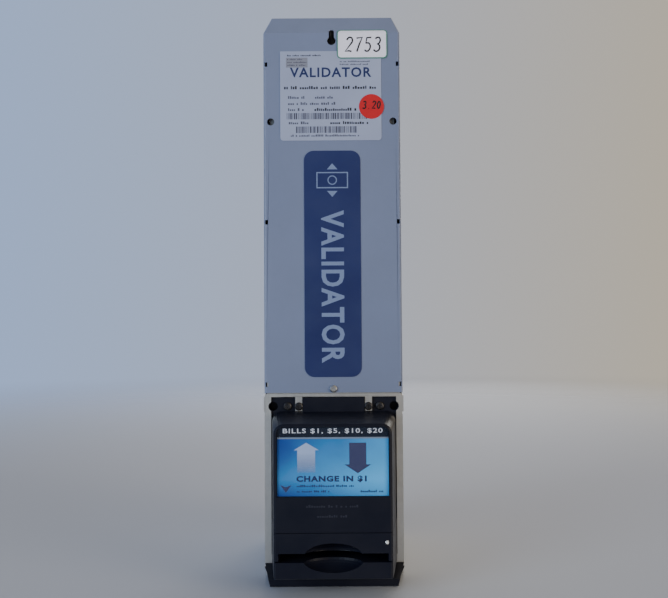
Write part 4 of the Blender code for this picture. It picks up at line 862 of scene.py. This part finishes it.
white_paper = paper_finish("white sticker paper", (0.87, 0.85, 0.98), (0.76, 0.75, 0.86))
green_border = ink_finish("green border print", (0.035, 0.20, 0.135), paler=0.2)
pressed("stock_sticker_border", rounded(STICKER_CENTRE, STICKER_WIDE, STICKER_TALL, STICKER_CORNER),
        STICKER_LIFT, 0.00010, green_border)
pressed("stock_sticker", rounded(STICKER_CENTRE, STICKER_WIDE - 0.0018, STICKER_TALL - 0.0018,
                                 STICKER_CORNER - 0.0009), STICKER_LIFT + 0.00008, 0.00006, white_paper)


def pen_digit(kind):
    """A digit's strokes in a box one unit wide and two tall, as lists of (x, y)."""
    def bow(x, y, wide, tall, start, end, steps=12):
        return [(x + wide * math.cos(math.radians(start + (end - start) * n / steps)),
                 y + tall * math.sin(math.radians(start + (end - start) * n / steps)))
                for n in range(steps + 1)]
    strokes = {
        "2": [bow(0.5, 1.5, 0.45, 0.48, 170, -35) + [(0.0, 0.05), (0.55, 0.12), (1.0, 0.02)]],
        "3": [bow(0.45, 1.5, 0.42, 0.46, 150, -80) + bow(0.42, 0.52, 0.50, 0.50, 80, -150)],
        "5": [[(0.9, 1.95), (0.2, 1.9), (0.12, 1.15)] + bow(0.42, 0.62, 0.48, 0.58, 110, -140)],
        "7": [[(0.05, 1.85), (0.95, 1.95), (0.60, 1.0), (0.35, 0.0)]],
        "0": [bow(0.5, 0.98, 0.42, 0.95, 100, 455, 18)],
        ".": [[(0.35, 0.04), (0.48, 0.0)]],
    }
    return strokes[kind]


def handwritten(name, digits, centre, tall, pitch, lift, pen, finish, lean=0.12):
    """Digits drawn with a felt pen: flat strokes with round ends, all in one piece."""
    line = bpy.data.curves.new(name + " drawn", "CURVE")
    line.dimensions = "3D"
    line.bevel_depth = pen / 2
    line.bevel_resolution = 2
    line.use_fill_caps = True
    left = -pitch * (len(digits) - 1) / 2
    for place, kind in enumerate(digits):
        for stroke in pen_digit(kind):
            spline = line.splines.new("POLY")
            spline.points.add(len(stroke) - 1)
            for point, (x, y) in zip(spline.points, stroke):
                tilted = (x - 0.5) * tall / 2 * 0.85 + (y - 1) * tall / 2 * lean
                point.co = (left + place * pitch + tilted, 0.0, (y - 1) * tall / 2, 1.0)
    drawn = bpy.data.objects.new(name + " drawn", line)
    bpy.context.scene.collection.objects.link(drawn)
    graph = bpy.context.evaluated_depsgraph_get()
    mesh = bpy.data.meshes.new_from_object(drawn.evaluated_get(graph))
    bpy.data.objects.remove(drawn, do_unlink=True)
    for vertex in mesh.vertices:
        x, z = centre[0] + vertex.co.x, centre[1] + vertex.co.z
        flat = vertex.co.y / pen * 0.00006
        vertex.co = (x, over_cover(z, lift) + flat, z)
    mesh.materials.clear()
    mesh.materials.append(finish)
    piece = bpy.data.objects.new(name, mesh)
    bpy.context.scene.collection.objects.link(piece)
    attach(piece, "housing")
    return piece


pen_ink = ink_finish("felt pen", (0.006, 0.006, 0.008), paler=0.0)
handwritten("stock_number", "2753", (STICKER_CENTRE[0] + 0.001, STICKER_CENTRE[1] - 0.0005), 0.0112, 0.0072,
            STICKER_LIFT + 0.00014, 0.0012, pen_ink)

# Price dot: a round red sticker, 19 mm across, stuck over the label's right edge and written on.
DOT_CENTRE = (0.0302, cover_high[2] - 0.0727)
DOT_RADIUS = 0.0095
red_paper = paper_finish("red dot paper", (0.55, 0.008, 0.014), (0.44, 0.006, 0.012))
pressed("price_dot", rounded(DOT_CENTRE, 2 * DOT_RADIUS, 2 * DOT_RADIUS, DOT_RADIUS, 12), STICKER_LIFT,
        0.00010, red_paper)
handwritten("price_number", "3.20", (DOT_CENTRE[0] + 0.0002, DOT_CENTRE[1] + 0.0012), 0.0056, 0.0036,
            STICKER_LIFT + 0.00006, 0.0010, pen_ink)

# Pressure spring: round steel wire on the bill store's front wall. It closes up as the pressure
# plate is pushed in; here it is one coil of even pitch that fills the CAD spring's box, which is hidden.
spring_low, spring_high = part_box("pressure_spring")
SPRING_TURNS = 6
WIRE = 0.0008
spring_middle = ((spring_low[0] + spring_high[0]) / 2, (spring_low[2] + spring_high[2]) / 2)
spring_radius = (spring_high[0] - spring_low[0]) / 2 - WIRE
spring_line = bpy.data.curves.new("spring line", "CURVE")
spring_line.dimensions = "3D"
spring_line.bevel_depth = WIRE
spring_line.bevel_resolution = 2
spring_line.use_fill_caps = True
spline = spring_line.splines.new("POLY")
steps = SPRING_TURNS * 28
spline.points.add(steps)
for n, point in enumerate(spline.points):
    around = 2 * math.pi * SPRING_TURNS * n / steps
    along = spring_low[1] + WIRE + (spring_high[1] - spring_low[1] - 2 * WIRE) * n / steps
    point.co = (spring_middle[0] + spring_radius * math.cos(around), along,
                spring_middle[1] + spring_radius * math.sin(around), 1.0)
drawn = bpy.data.objects.new("spring drawn", spring_line)
bpy.context.scene.collection.objects.link(drawn)
graph = bpy.context.evaluated_depsgraph_get()
spring_mesh = bpy.data.meshes.new_from_object(drawn.evaluated_get(graph))
bpy.data.objects.remove(drawn, do_unlink=True)
spring_mesh.materials.clear()
spring_mesh.materials.append(steel)
spring_mesh.shade_smooth()
spring = bpy.data.objects.new("pressure_coil", spring_mesh)
bpy.context.scene.collection.objects.link(spring)
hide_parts("pressure_spring")
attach(spring, "housing")
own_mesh(spring)
